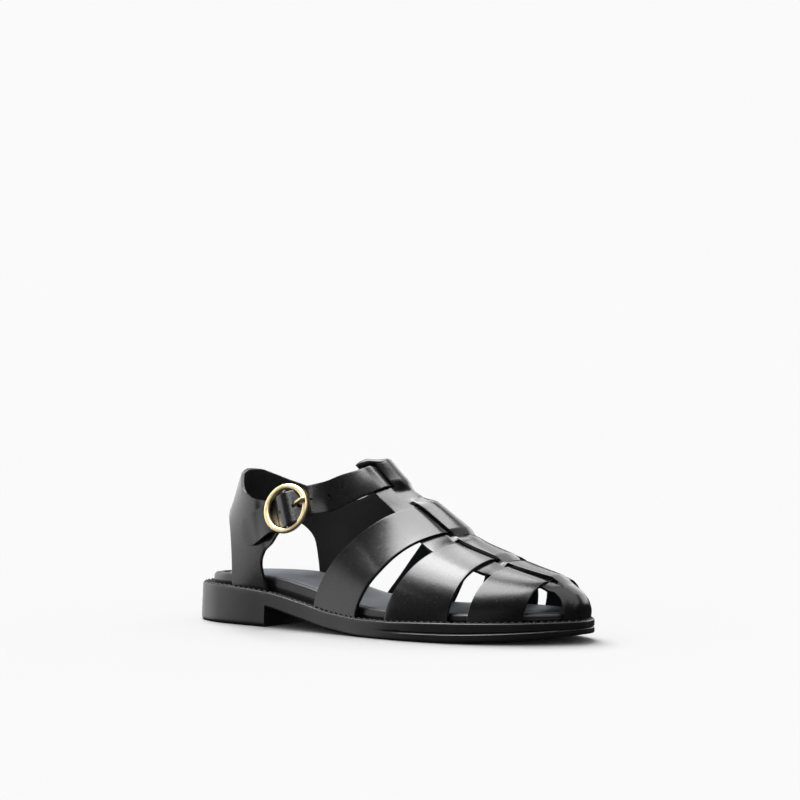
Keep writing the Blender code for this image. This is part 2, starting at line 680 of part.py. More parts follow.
def make_band():
    """T-bar band: rolled top end, four slit windows, and the toe piece round to the sole."""
    rows = []
    for rear in (0, 2, 4, 6):
        if rear:
            before = rear - 1
            rows.append((rear - ridge_step(before, BAND_RAMP), 0.0, False))
            rows.append((rear - ridge_step(before, SLIT_SPARE), 0.35, True))
        rows += [(rear + part, 1.0, True) for part in (0.0, 0.5, 1.0)]
        rows.append((rear + 1 + ridge_step(rear + 1, SLIT_SPARE), 0.35, False))
        rows.append((rear + 1 + ridge_step(rear + 1, BAND_RAMP), 0.0, False))
    toe = [TOE_REAR - 1 + TOE_EDGE[-1][0]]
    toe += [TOE_REAR + part / 2 for part in range(TOE_ROWS)]
    rows += [(station, 0.0, False) for station in toe]
    stations = [row[0] for row in rows]
    shares = []
    heights = []
    for station, raised, _ in rows:
        shares.append(both_sides(station, band_distances))
        one_side = [raised * BAND_RISE] * (SLIT_COLUMN + 1) + [0.0] * 5
        heights.append(np.array(one_side[:0:-1] + one_side))
    grid = fan_surface(stations, shares, heights)
    drop = np.array([0.0, 0.0, -TRIM])
    grid[-TOE_ROWS:, (0, -1)] += drop
    foot = grid[-1:] + drop
    lead = grid[:1] + back_of_band(shares[0]) * BAND_ROLL
    grid = np.concatenate([lead, grid, foot])
    middle = len(shares[0]) // 2
    windows = (middle + SLIT_COLUMN, middle - SLIT_COLUMN - 1)
    open_rows = [0] + [1 + i for i, row in enumerate(rows) if row[2]]
    skip = {(i, j) for i in open_rows for j in windows}
    return sheet("band", grid, LEATHER, skip, even=False)


def back_of_band(shares):
    """Direction up and back along the last surface at the band's top end."""
    ahead = fan_point(0.05, shares) - fan_point(0.0, shares)
    return -ahead / np.linalg.norm(ahead, axis=1, keepdims=True)


ROLL_SIDES = 10
ROLL_COLUMNS = 12


def make_roll():
    """Band's top end, rolled over and under behind the instep strap."""
    half = band_half(0.0) - BAND_ROLL * 0.3
    reach = np.linspace(-half, half, ROLL_COLUMNS + 1)
    arcs = np.where(reach < 0, side_arc(0.0, -1), side_arc(0.0, 1))
    start = fan_point(0.0, reach / arcs)
    normal = fan_normal(0.0, reach / arcs)
    back = back_of_band(reach / arcs)
    spread = np.minimum((reach / CENTRE_HALF) ** 2, 1.0)
    radius = BAND_ROLL * (1 - 0.4 * np.abs(reach / half) ** 6)
    lines = []
    for side in range(ROLL_SIDES):
        angle = 2 * math.pi * side / ROLL_SIDES
        out = BAND_ROLL * (0.75 + ROLL_SPREAD * spread) + radius * math.sin(angle)
        lift = BAND_RISE - BAND_ROLL + radius * math.cos(angle)
        lines.append(start + back * out[:, None] + normal * lift[:, None])

    def build(work):
        rings = [[work.verts.new(point) for point in line] for line in lines]
        for k in range(ROLL_SIDES):
            a = rings[k]
            b = rings[(k + 1) % ROLL_SIDES]
            for j in range(ROLL_COLUMNS):
                work.faces.new([a[j], a[j + 1], b[j + 1], b[j]])
        work.faces.new([ring[0] for ring in rings])
        work.faces.new([ring[-1] for ring in rings[::-1]])

    return add_mesh("roll", build)


def in_sizes(x, y, z):
    """Shares of length, width and instep as a point."""
    return np.array([x * SHOE_LENGTH - HEEL_SEAT, y * BALL_WIDTH, z * INSTEP_HEIGHT])


def buckle_axes():
    """Along the strap to the instep, up across it, and out of it."""
    azimuth = math.radians(BUCKLE.azimuth)
    tilt = math.radians(BUCKLE.tilt)
    slope = math.radians(BUCKLE.slope)
    level = np.array([math.cos(azimuth), math.sin(azimuth), 0.0])
    out = np.array([math.sin(azimuth) * math.cos(tilt), -math.cos(azimuth) * math.cos(tilt),
                    math.sin(tilt)])
    rise = np.cross(out, level)
    along = level * math.cos(slope) + rise * math.sin(slope)
    return along, np.cross(out, along), out


ALONG, UPWARD, OUTWARD = buckle_axes()
BUCKLE_SEAT = in_sizes(BUCKLE.x, BUCKLE.y, BUCKLE.z)


def at_buckle(along, up, lift):
    """Point in the buckle's plane, in metres from the bar."""
    return BUCKLE_SEAT + ALONG * along + UPWARD * up + OUTWARD * lift


RIBBON_COLUMNS = (0.0, 0.2, 0.5 - HOLE_HALF / STRAP_WIDTH, 0.5 + HOLE_HALF / STRAP_WIDTH, 0.8, 1.0)
HOLE_COLUMN = 2
INSTEP_FANS = (-13.0, -9.5, -6.0, -3.0, 0.0, 3.0, 6.0, 9.5, 13.0)


def edge_pairs():
    """Lower and upper edge of the ribbon, from the strap's tip round to the buckle tab."""
    pairs = []
    for row in STRAP_ROWS:
        half = row.half * STRAP_WIDTH / 2
        lift = STRAP_LIFT + (BULGE_LIFT - STRAP_LIFT) * row.lift
        along = row.along * RING_RADIUS
        pairs.append((at_buckle(along, -half, lift), at_buckle(along, half, lift), 0.0))
    for row in INSTEP_ROWS:
        pairs.append((in_sizes(row.lx, row.ly, row.lz), in_sizes(row.ux, row.uy, row.uz), 0.0))
    for distance in INSTEP_FANS:
        pairs.append((fan_pair(distance * 0.001, 1), fan_pair(distance * 0.001, 0), 0.0))
    for row in QUARTER_ROWS:
        upper = in_sizes(row.ux, row.uy, row.uz)
        lower = in_sizes(row.lx, row.ly, row.lz)
        if row.lz == 0:
            lower = on_ledge(lower[0], -1 if row.ly < 0 else 1)
            lower[2] -= TRIM
        pairs.append((lower, upper, row.bulge * LEATHER))
    for row in TAB_ROWS:
        half = row.half * TAB_HALF
        lift = row.lift * BAR_LIFT
        along = row.along * RING_RADIUS
        pairs.append((at_buckle(along, -half, lift), at_buckle(along, half, lift), 0.0))
    return pairs


def fan_pair(distance, station):
    """Instep strap's edge where it crosses the band, over its margins and under its middle."""
    side = -1 if distance < 0 else 1
    share = np.array([distance / side_arc(station, side)])
    out = ease((abs(distance) - CENTRE_HALF + WEAVE_RAMP * 0.6) / (WEAVE_RAMP * 1.4))
    height = UNDER_BAND + (WEAVE_RISE - UNDER_BAND) * float(out)
    return fan_point(station, share)[0] + fan_normal(station, share)[0] * height


def ribbon_grid(steps):
    """Outer face of the ribbon, with steps between its rows, laid on itself at the tip."""
    pairs = edge_pairs()
    keys = np.arange(len(pairs), dtype=float)
    lower = np.stack([pair[0] for pair in pairs])
    upper = np.stack([pair[1] for pair in pairs])
    bulge = np.array([pair[2] for pair in pairs])
    quarter = len(STRAP_ROWS) + len(INSTEP_ROWS) + len(INSTEP_FANS)
    places = []
    for k in range(len(pairs) - 1):
        split = 1 if k < len(STRAP_ROWS) - 1 or k >= len(pairs) - len(TAB_ROWS) else steps
        if len(STRAP_ROWS) + len(INSTEP_ROWS) <= k < quarter - 1:
            split = 1
        places += [k + part / split for part in range(split)]
    places.append(keys[-1])
    places = np.array(places)
    low = smooth(keys, lower, places)
    high = smooth(keys, upper, places)
    swell = smooth(keys, bulge, places)
    share = np.array(RIBBON_COLUMNS)[None, :, None]
    grid = low[:, None, :] * (1 - share) + high[:, None, :] * share
    around = np.gradient(grid, axis=0)
    over = (high - low)[:, None, :]
    normal = np.cross(around, over)
    normal /= np.maximum(np.linalg.norm(normal, axis=2, keepdims=True), TINY)
    grid = grid + normal * swell[:, None, None] * (1 - (2 * share - 1) ** 2)
    return lay_free_end(grid, places, quarter)


def lay_free_end(grid, places, quarter):
    """Press the strap's free end onto the quarter, a gap clear of it."""
    first = int(np.searchsorted(places, quarter))
    from mathutils.bvhtree import BVHTree
    from mathutils import Vector
    tail = grid[first:]
    columns = tail.shape[1]
    verts = [Vector(point) for point in tail.reshape(-1, 3)]
    faces = []
    for i in range(len(tail) - 1):
        for j in range(columns - 1):
            a = i * columns + j
            faces.append((a, a + columns, a + columns + 1, a + 1))
    tree = BVHTree.FromPolygons(verts, faces)
    for i, row in enumerate(STRAP_ROWS):
        blend = float(ease((-row.along - 0.9) / 0.6))
        if blend <= 0:
            continue
        for j in range(columns):
            point = Vector(grid[i, j])
            hit, normal, _, _ = tree.ray_cast(point + Vector(OUTWARD) * 0.02, -Vector(OUTWARD), 0.06)
            if hit is None:
                continue
            if normal.dot(Vector(OUTWARD)) < 0:
                normal = -normal
            laid = hit + normal * (STRAP_LIFT + STRAP_SLACK)
            grid[i, j] = np.array(point.lerp(laid, blend))
    return grid


RIBBON_STEPS = 3


def make_ribbon():
    """Instep strap and quarter in one piece, with the prong's hole and the tab's notch."""
    grid = ribbon_grid(RIBBON_STEPS)
    notch = {(len(grid) - 2, HOLE_COLUMN), (HOLE_ROW, HOLE_COLUMN)}
    return sheet("ribbon", grid, QUARTER_LEATHER, notch)


def turned_sleeve(name, inner, outer, low, high, lift):
    """Tube round the buckle bar's line, from low to high along it."""
    def build(work):
        corners = [(outer, high), (inner, high), (inner, low), (outer, low)]
        verts = [work.verts.new((x, 0.0, z)) for x, z in corners]
        for k in range(4):
            work.edges.new((verts[k], verts[(k + 1) % 4]))

    thing = add_mesh(name, build)
    screw = thing.modifiers.new("turn", "SCREW")
    screw.steps = 16
    screw.render_steps = 16
    screw.use_merge_vertices = True
    screw.merge_threshold = 1e-5
    screw.use_normal_calculate = True
    screw.use_normal_flip = True
    place_on_bar(thing, lift)
    return thing


def place_on_bar(thing, lift):
    """Local Z along the bar, local X towards the instep."""
    from mathutils import Matrix, Vector
    turn = Matrix([ALONG, np.cross(UPWARD, ALONG), UPWARD]).transposed()
    thing.matrix_world = Matrix.Translation(Vector(at_buckle(0.0, 0.0, lift))) @ turn.to_4x4()


def join(base, others):
    for other in others:
        union = base.modifiers.new("joined " + other.name, "BOOLEAN")
        union.operation = "UNION"
        union.solver = "EXACT"
        union.object = other


def cut(base, cutter):
    trim = base.modifiers.new("cut by " + cutter.name, "BOOLEAN")
    trim.operation = "DIFFERENCE"
    trim.solver = "EXACT"
    trim.object = cutter


def make_bed_cutter():
    """Everything below the straps' feet: the sole's top, a gap higher and well outset."""
    outset = 0.006

    def level(inset, height):
        def at(turns, side):
            x, _ = side_line(side, turns, 0.0)
            out_x, out_y = side_line(side, turns, inset)
            return out_x, out_y, height(x)
        return at

    def top(x):
        return sole_top(x) + GAP

    levels = [level(-outset, lambda x: top(x) - 2 * outset), level(-outset, top),
              level(SOLE_BEVEL, top)]
    return rounded_slab("bed_cutter", split_turns(), levels,
                        lambda point, share, turn: point.z,
                        lambda point, share, turn: point.z, 1)


def make_ring():
    """Round frame with its centre bar."""
    bpy.ops.mesh.primitive_torus_add(major_radius=RING_RADIUS, minor_radius=RING_WIRE,
                                     major_segments=40, minor_segments=10)
    ring = bpy.context.object
    ring.name = "buckle_ring"
    from mathutils import Matrix, Vector
    turn = Matrix([ALONG, UPWARD, OUTWARD]).transposed()
    ring.matrix_world = Matrix.Translation(Vector(at_buckle(0, 0, RING_LIFT))) @ turn.to_4x4()
    bpy.ops.mesh.primitive_cylinder_add(vertices=12, radius=BAR_RADIUS, depth=2 * RING_RADIUS)
    bar = bpy.context.object
    bar.name = "bar"
    place_on_bar(bar, BAR_LIFT)
    join(ring, [bar])
    return ring, [bar]


def make_prong():
    """Eye round the bar and a rod through the strap's hole onto the ring."""
    reach = HOLE_HALF - GAP
    eye = turned_sleeve("buckle_prong", BAR_RADIUS + GAP, SLEEVE_RADIUS - TAB_LEATHER * 0.1,
                        -reach, reach, BAR_LIFT)
    line = bpy.data.curves.new("rod", "CURVE")
    line.dimensions = "3D"
    spline = line.splines.new("POLY")
    spline.points.add(len(PRONG_ROWS) - 1)
    for point, row in zip(spline.points, PRONG_ROWS):
        place = at_buckle(row.along * RING_RADIUS, 0.0, row.lift * RING_LIFT)
        point.co = (*place, 1.0)
    line.bevel_depth = PRONG_RADIUS
    line.bevel_resolution = 2
    line.use_fill_caps = True
    rod = as_mesh("prong_rod", line)
    join(eye, [rod])
    return eye, [rod]


def as_mesh(name, curve_data):
    """Mesh object from a curve, with its caps welded."""
    guide = bpy.data.objects.new(name + " line", curve_data)
    bpy.context.scene.collection.objects.link(guide)
    graph = bpy.context.evaluated_depsgraph_get()
    mesh = bpy.data.meshes.new_from_object(guide.evaluated_get(graph))
    work = bmesh.new()
    work.from_mesh(mesh)
    bmesh.ops.remove_doubles(work, verts=work.verts, dist=1e-6)
    bmesh.ops.recalc_face_normals(work, faces=work.faces)
    work.to_mesh(mesh)
    work.free()
    thing = bpy.data.objects.new(name, mesh)
    thing.matrix_world = guide.matrix_world
    bpy.data.objects.remove(guide)
    return thing


def make_upper():
    """Quarter and instep strap, band, three cross straps and the bar's sleeves, one solid."""
    upper = make_ribbon()
    upper.name = "upper"
    parts = [
        turned_sleeve("sleeve_low", BAR_RADIUS + GAP, SLEEVE_RADIUS, -TAB_HALF,
                      -HOLE_HALF - GAP, BAR_LIFT),
        turned_sleeve("sleeve_high", BAR_RADIUS + GAP, SLEEVE_RADIUS, HOLE_HALF + GAP,
                      TAB_HALF, BAR_LIFT),
        make_band(),
        make_roll(),
        make_strap("third_strap", 2),
        make_strap("second_strap", 4),
        make_strap("first_strap", 6),
    ]
    bed = make_bed_cutter()
    join(upper, parts)
    cut(upper, bed)
    return upper, parts + [bed]


def material(name, colour, roughness, metallic=0.0):
    finish = bpy.data.materials.new(name)
    finish.use_nodes = True
    shader = finish.node_tree.nodes["Principled BSDF"]
    shader.inputs["Base Color"].default_value = (*colour, 1.0)
    shader.inputs["Roughness"].default_value = roughness
    shader.inputs["Metallic"].default_value = metallic
    return finish


def shade(thing):
    thing.data.shade_smooth()
    thing.data.set_sharp_from_angle(angle=math.radians(35))


def main():
    for thing in list(bpy.data.objects):
        bpy.data.objects.remove(thing)
    shoe = bpy.data.collections.new("fisherman_sandal")
    helpers = bpy.data.collections.new("helpers")
    bpy.context.scene.collection.children.link(shoe)
    bpy.context.scene.collection.children.link(helpers)
    leather = material("black leather", (0.012, 0.012, 0.013), 0.38)
    lining = material("grey sock leather", (0.11, 0.12, 0.15), 0.6)
    rubber = material("black sole unit", (0.010, 0.010, 0.010), 0.45)
    brass = material("pale gold plate", (0.83, 0.66, 0.38), 0.2, 1.0)
    upper, upper_helpers = make_upper()
    ring, ring_helpers = make_ring()
    prong, prong_helpers = make_prong()
    pieces = [(make_outsole(), rubber), (make_footbed(), leather), (make_sock(), lining),
              (upper, leather), (ring, brass), (prong, brass)]
    for thing, finish in pieces:
        for holder in list(thing.users_collection):
            holder.objects.unlink(thing)
        shoe.objects.link(thing)
        thing.data.materials.append(finish)
        shade(thing)
    for thing in upper_helpers + ring_helpers + prong_helpers:
        for holder in list(thing.users_collection):
            holder.objects.unlink(thing)
        helpers.objects.link(thing)
        thing.hide_render = True
        thing.display_type = "WIRE"


main()
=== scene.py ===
"""Fisherman sandal, right shoe, standing empty on a pale studio floor.

Metres, +X to the toe, +Y to the inner side, +Z up. The leather strips lie on one last-shaped
surface, as in the frame: cross straps woven through slits in a T-bar band.
"""
import math
from collections import namedtuple

import bmesh
import bpy
import numpy as np
from mathutils import Matrix, Vector
from mathutils.bvhtree import BVHTree


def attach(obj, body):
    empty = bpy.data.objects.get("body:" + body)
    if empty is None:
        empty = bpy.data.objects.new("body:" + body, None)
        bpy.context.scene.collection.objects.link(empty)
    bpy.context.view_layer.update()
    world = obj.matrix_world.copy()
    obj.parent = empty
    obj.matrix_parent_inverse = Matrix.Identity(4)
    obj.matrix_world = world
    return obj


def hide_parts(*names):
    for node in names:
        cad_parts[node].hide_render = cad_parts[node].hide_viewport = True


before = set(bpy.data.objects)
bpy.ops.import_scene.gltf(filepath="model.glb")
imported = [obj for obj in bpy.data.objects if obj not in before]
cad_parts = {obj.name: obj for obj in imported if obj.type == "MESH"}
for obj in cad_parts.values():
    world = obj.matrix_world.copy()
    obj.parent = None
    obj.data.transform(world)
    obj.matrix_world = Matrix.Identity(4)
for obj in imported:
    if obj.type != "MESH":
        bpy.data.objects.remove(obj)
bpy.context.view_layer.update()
TINY = 1e-9

# Studio: a white sweep of paper, lit evenly, and one wide soft light that casts the shadow.
# Three soft boxes and three cards show only as gloss. The camera stands 2 m off between the
# outer side and the toe, and looks down a little through a long lens.
VIEW_PLACE = (1.29661, -1.58796, 0.21565)
VIEW_HEADING = 36.8131
VIEW_DOWN = 2.4372
VIEW_LENS = 157.86
PAPER_SEEN = 0.955          # background to the eye
PAPER_LIGHT = 0.42          # what the paper throws on matt surfaces
PAPER_GLOSS = 0.03          # what it throws on glossy ones
TOP_LIGHT = 3.02            # soft light from above the heel, on matt surfaces
TOP_LIGHT_FROM = (150.0, 55.0)
TOP_LIGHT_SPREAD = 45.0
PAPER = "#e6e6e6"

camera = bpy.data.objects.new("camera", bpy.data.cameras.new("camera"))
bpy.context.scene.collection.objects.link(camera)
bpy.context.scene.camera = camera
camera.data.lens = VIEW_LENS
camera.data.sensor_width = 36.0
camera.data.sensor_fit = "HORIZONTAL"
camera.data.clip_start = 0.01
camera.data.clip_end = 100.0
camera.location = VIEW_PLACE
camera.rotation_euler = (math.radians(90 - VIEW_DOWN), 0.0, math.radians(VIEW_HEADING))
bpy.context.scene.view_settings.view_transform = "Standard"
bpy.context.scene.view_settings.look = "None"


def colour(code):
    """Linear colour with alpha from an sRGB hex code."""
    parts = [int(code[k:k + 2], 16) / 255 for k in (1, 3, 5)]
    linear = [c / 12.92 if c <= 0.04045 else ((c + 0.055) / 1.055) ** 2.4 for c in parts]
    return (*linear, 1.0)


def add_node(tree, kind, inputs, **settings):
    """New node: its settings, and inputs given as values or as sockets to link."""
    made = tree.nodes.new(kind)
    for key, value in settings.items():
        setattr(made, key, value)
    for key, value in inputs.items():
        if isinstance(value, bpy.types.NodeSocket):
            tree.links.new(value, made.inputs[key])
        else:
            made.inputs[key].default_value = value
    return made


studio = bpy.data.worlds.new("studio")
bpy.context.scene.world = studio
studio.use_nodes = True
studio.cycles.sampling_method = "NONE"
tree = studio.node_tree
tree.nodes.clear()
ray = add_node(tree, "ShaderNodeLightPath", {})
shown = [add_node(tree, "ShaderNodeBackground", {"Color": (1, 1, 1, 1), "Strength": level})
         for level in (PAPER_GLOSS, PAPER_LIGHT, PAPER_SEEN)]
matt = add_node(tree, "ShaderNodeMixShader", {0: ray.outputs["Is Diffuse Ray"],
                                             1: shown[0].outputs[0], 2: shown[1].outputs[0]})
seen = add_node(tree, "ShaderNodeMixShader", {0: ray.outputs["Is Camera Ray"],
                                             1: matt.outputs[0], 2: shown[2].outputs[0]})
add_node(tree, "ShaderNodeOutputWorld", {"Surface": seen.outputs[0]})


def toward(azimuth, elevation):
    """Direction from the shoe, azimuth from the toe round by the inner side."""
    around = math.radians(azimuth)
    rise = math.radians(elevation)
    return Vector((math.cos(rise) * math.cos(around), math.cos(rise) * math.sin(around),
                   math.sin(rise)))


def add_soft_box(name, azimuth, elevation, wide, high, radiance):
    """Area light seen only in reflections: its place and its size in degrees from the shoe."""
    away = toward(azimuth, elevation)
    lamp = bpy.data.lights.new(name, "AREA")
    lamp.shape = "RECTANGLE"
    lamp.size = 2 * BOX_DISTANCE * math.tan(math.radians(wide / 2))
    lamp.size_y = 2 * BOX_DISTANCE * math.tan(math.radians(high / 2))
    lamp.energy = radiance * lamp.size * lamp.size_y * math.pi
    box = bpy.data.objects.new(name, lamp)
    box.location = SHOE_MIDDLE + away * BOX_DISTANCE
    box.rotation_euler = (-away).to_track_quat("-Z", "Y").to_euler()
    box.visible_camera = False
    box.visible_diffuse = False
    bpy.context.scene.collection.objects.link(box)


BOX_DISTANCE = 1.7
SHOE_MIDDLE = Vector((0.10, 0.0, 0.03))
add_soft_box("top_box", 243, 69, 50, 36, 12.5)
add_soft_box("back_box", 162, 64, 44, 34, 6.5)
add_soft_box("heel_card", 187, 10, 86, 46, 1.75)
add_soft_box("inner_box", 82, 40, 62, 64, 3.0)
add_soft_box("toe_card", 350, 52, 52, 50, 1.8)
add_soft_box("front_card", 274, 4, 44, 28, 0.3)
top = bpy.data.lights.new("top_light", "SUN")
top.energy = TOP_LIGHT
top.angle = math.radians(TOP_LIGHT_SPREAD)
top_light = bpy.data.objects.new("top_light", top)
top_light.rotation_euler = (-toward(*TOP_LIGHT_FROM)).to_track_quat("-Z", "Y").to_euler()
top_light.visible_glossy = False
bpy.context.scene.collection.objects.link(top_light)

paper = bpy.data.materials.new("matt_paper")
paper.use_nodes = True
face = paper.node_tree.nodes["Principled BSDF"]
face.inputs["Base Color"].default_value = colour(PAPER)
face.inputs["Roughness"].default_value = 1.0
face.inputs["Specular IOR Level"].default_value = 0.0
floor_mesh = bpy.data.meshes.new("floor")
corners = [(-60, -60, 0), (60, -60, 0), (60, 60, 0), (-60, 60, 0)]
floor_mesh.from_pydata(corners, [], [(0, 1, 2, 3)])
floor = bpy.data.objects.new("floor", floor_mesh)
floor.data.materials.append(paper)
floor.visible_glossy = False
bpy.context.scene.collection.objects.link(floor)

# Sole unit: one moulded block of black rubber, with a low heel, an arched waist and a toe that
# springs off the floor. A groove runs round the side of the forefoot.
SHOE_LENGTH = 0.258
BALL_WIDTH = 0.088
HEEL_HEIGHT = 0.022
INSTEP_HEIGHT = 0.0945
HEEL_SEAT = 0.030           # back of the sole to the origin
TOE_BEND = 0.0115           # swing of the toe to the inner side
HEEL_LENGTH = 0.063
HEEL_BREAST = 0.0004
HEEL_FLARE = 0.0010
SOLE_BEVEL = 0.0008
STEP_DEPTH = 0.0004
STEP_START = 0.150
STEP_FADE = 0.020
SOLE_TURNS = 180
SOLE_COLUMNS = 10

SoleRow = namedtuple("SoleRow", "share lateral medial top waist rim")
SOLE_ROWS = [
    SoleRow(0.00, 0.000, 0.000, 1.000, 0.590, 0.60),
    SoleRow(0.02, 0.170, 0.159, 1.000, 0.590, 0.62),
    SoleRow(0.05, 0.239, 0.239, 1.000, 0.590, 0.65),
    SoleRow(0.10, 0.300, 0.307, 1.000, 0.590, 0.72),
    SoleRow(0.18, 0.332, 0.341, 0.973, 0.590, 0.84),
    SoleRow(0.25, 0.343, 0.335, 0.914, 0.520, 0.96),
    SoleRow(0.35, 0.369, 0.307, 0.727, 0.290, 1.00),
    SoleRow(0.45, 0.418, 0.301, 0.530, 0.090, 0.86),
    SoleRow(0.55, 0.472, 0.352, 0.458, 0.000, 0.68),
    SoleRow(0.62, 0.498, 0.415, 0.458, 0.000, 0.62),
    SoleRow(0.68, 0.505, 0.460, 0.486, 0.000, 0.58),
    SoleRow(0.74, 0.494, 0.483, 0.509, 0.000, 0.55),
    SoleRow(0.80, 0.461, 0.472, 0.523, 0.020, 0.54),
    SoleRow(0.86, 0.397, 0.426, 0.536, 0.065, 0.53),
    SoleRow(0.92, 0.294, 0.341, 0.550, 0.120, 0.53),
    SoleRow(0.97, 0.164, 0.216, 0.563, 0.180, 0.53),
    SoleRow(1.00, 0.000, 0.000, 0.568, 0.225, 0.53),
]
SHARES = [row.share for row in SOLE_ROWS]
TURNS = [math.acos(1 - 2 * share) for share in SHARES]


def smooth(xs, ys, x):
    """Smooth curve through the rows, whose slopes never overshoot them."""
    xs = np.asarray(xs, float)
    ys = np.asarray(ys, float)
    x = np.clip(np.asarray(x, float), xs[0], xs[-1])
    run = np.diff(xs)
    slope = np.diff(ys, axis=0) / run.reshape((-1,) + (1,) * (ys.ndim - 1))
    tangent = np.zeros_like(ys)
    tangent[0] = slope[0]
    tangent[-1] = slope[-1]
    product = slope[:-1] * slope[1:]
    total = np.where(np.abs(slope[:-1] + slope[1:]) < TINY, 1.0, slope[:-1] + slope[1:])
    tangent[1:-1] = np.where(product > 0, 2 * product / total, 0.0)
    k = np.clip(np.searchsorted(xs, x, side="right") - 1, 0, len(run) - 1)
    t = (x - xs[k]) / run[k]
    step = run[k]
    if ys.ndim > 1:
        t = t[..., None]
        step = step[..., None]
    low = ys[k] * (1 + 2 * t) * (1 - t) ** 2 + tangent[k] * step * t * (1 - t) ** 2
    high = ys[k + 1] * t ** 2 * (3 - 2 * t) + tangent[k + 1] * step * t ** 2 * (t - 1)
    return low + high


def ease(x):
    """0 below 0, 1 above 1, and a soft step between."""
    x = np.clip(x, 0.0, 1.0)
    return x * x * (3 - 2 * x)


def half_width(turn, side):
    """Half width of the sole at a turn from the back (0) to the toe (pi)."""
    widths = [row.lateral if side < 0 else row.medial for row in SOLE_ROWS]
    return smooth(TURNS, widths, turn) * BALL_WIDTH


def toe_swing(x):
    share = (x + HEEL_SEAT) / SHOE_LENGTH
    return TOE_BEND * np.clip((share - 0.3) / 0.7, 0.0, 1.0) ** 2


def sole_height(x, column):
    share = (np.asarray(x) + HEEL_SEAT) / SHOE_LENGTH
    return smooth(SHARES, [getattr(row, column) for row in SOLE_ROWS], share)


def sole_top(x):
    return sole_height(x, "top") * HEEL_HEIGHT


def side_line(side, turns, inset):
    """Sole edge on one side, moved in by inset."""
    step = 1e-4

    def at(turn):
        turn = np.abs(turn)
        over = turn > math.pi
        turn = np.where(over, 2 * math.pi - turn, turn)
        return (1 - np.cos(turn)) / 2 * SHOE_LENGTH - HEEL_SEAT, half_width(turn, side) * side, over

    turns = np.asarray(turns, float)
    x0, y0, _ = at(turns - step)
    x1, y1, after = at(turns + step)
    y0 = np.where(turns < step, -y0, y0) + toe_swing(x0)
    y1 = np.where(after, -y1, y1) + toe_swing(x1)
    length = np.hypot(x1 - x0, y1 - y0)
    x, y, _ = at(turns)
    across_x = (y1 - y0) / length * side
    across_y = -(x1 - x0) / length * side
    return x + across_x * inset, y + toe_swing(x) + across_y * inset


def add_mesh(name, build):
    """Object in the scene whose mesh is filled by a function that takes a bmesh."""
    mesh = bpy.data.meshes.new(name)
    work = bmesh.new()
    build(work)
    work.to_mesh(mesh)
    work.free()
    thing = bpy.data.objects.new(name, mesh)
    bpy.context.scene.collection.objects.link(thing)
    return thing


def shoe_slab(name, turns, levels, low_bed, high_bed, columns):
    """Closed solid with the shoe's outline: levels give its wall, beds its two faces."""
    last = len(turns) - 1

    def build(work):
        rings = []
        for level in levels:
            ring = {}
            for side in (-1, 1):
                x, y, z = level(np.array(turns), side)
                for k in range(len(turns)):
                    if k in (0, last) and side == 1:
                        ring[side, k] = ring[-1, k]
                    else:
                        ring[side, k] = work.verts.new((x[k], y[k], z[k]))
            rings.append(ring)
        for low, high in zip(rings, rings[1:]):
            for side in (-1, 1):
                for k in range(last):
                    quad = [low[side, k], low[side, k + 1], high[side, k + 1], high[side, k]]
                    work.faces.new(quad if side < 0 else quad[::-1])
        for ring, bed, up in ((rings[0], low_bed, False), (rings[-1], high_bed, True)):
            rows = []
            for k in range(len(turns)):
                if k in (0, last):
                    rows.append([ring[-1, k]] * (columns + 1))
                    continue
                row = [ring[-1, k]]
                for c in range(1, columns):
                    point = ring[-1, k].co.lerp(ring[1, k].co, c / columns)
                    point.z = bed(point, c / columns)
                    row.append(work.verts.new(point))
                rows.append(row + [ring[1, k]])
            for k in range(last):
                for c in range(columns):
                    quad = [rows[k][c], rows[k + 1][c], rows[k + 1][c + 1], rows[k][c + 1]]
                    corner = list(dict.fromkeys(quad))
                    if len(corner) > 2:
                        work.faces.new(corner if up else corner[::-1])

    return add_mesh(name, build)


def settle(thing, sharp=38.0):
    """Apply the modifiers, and shade smooth but for the real corners."""
    graph = bpy.context.evaluated_depsgraph_get()
    graph.update()
    mesh = bpy.data.meshes.new_from_object(thing.evaluated_get(graph))
    thing.modifiers.clear()
    thing.data = mesh
    mesh.shade_smooth()
    mesh.set_sharp_from_angle(angle=math.radians(sharp))


def sole_bottom(x):
    """Underside: the heel block to the breast, then the waist and the forefoot's tread."""
    past = (np.asarray(x) + HEEL_SEAT - HEEL_LENGTH) / HEEL_BREAST
    return sole_height(x, "waist") * HEEL_HEIGHT * np.clip(past, 0.0, 1.0)


def sole_wall(rise, bevel, step):
    """One line round the sole's wall: its share of the height, and how far it lies in."""
    def level(turns, side):
        x, _ = side_line(side, turns, 0.0)
        fade = ease((x + HEEL_SEAT - STEP_START) / STEP_FADE)
        back = ease(1 - (x + HEEL_SEAT) / HEEL_LENGTH) * (1 - rise)
        inset = bevel * SOLE_BEVEL + step * STEP_DEPTH * fade - HEEL_FLARE * back
        inner_x, inner_y = side_line(side, turns, inset)
        low = sole_bottom(x)
        return inner_x, inner_y, low + (sole_top(x) - low) * rise
    return level


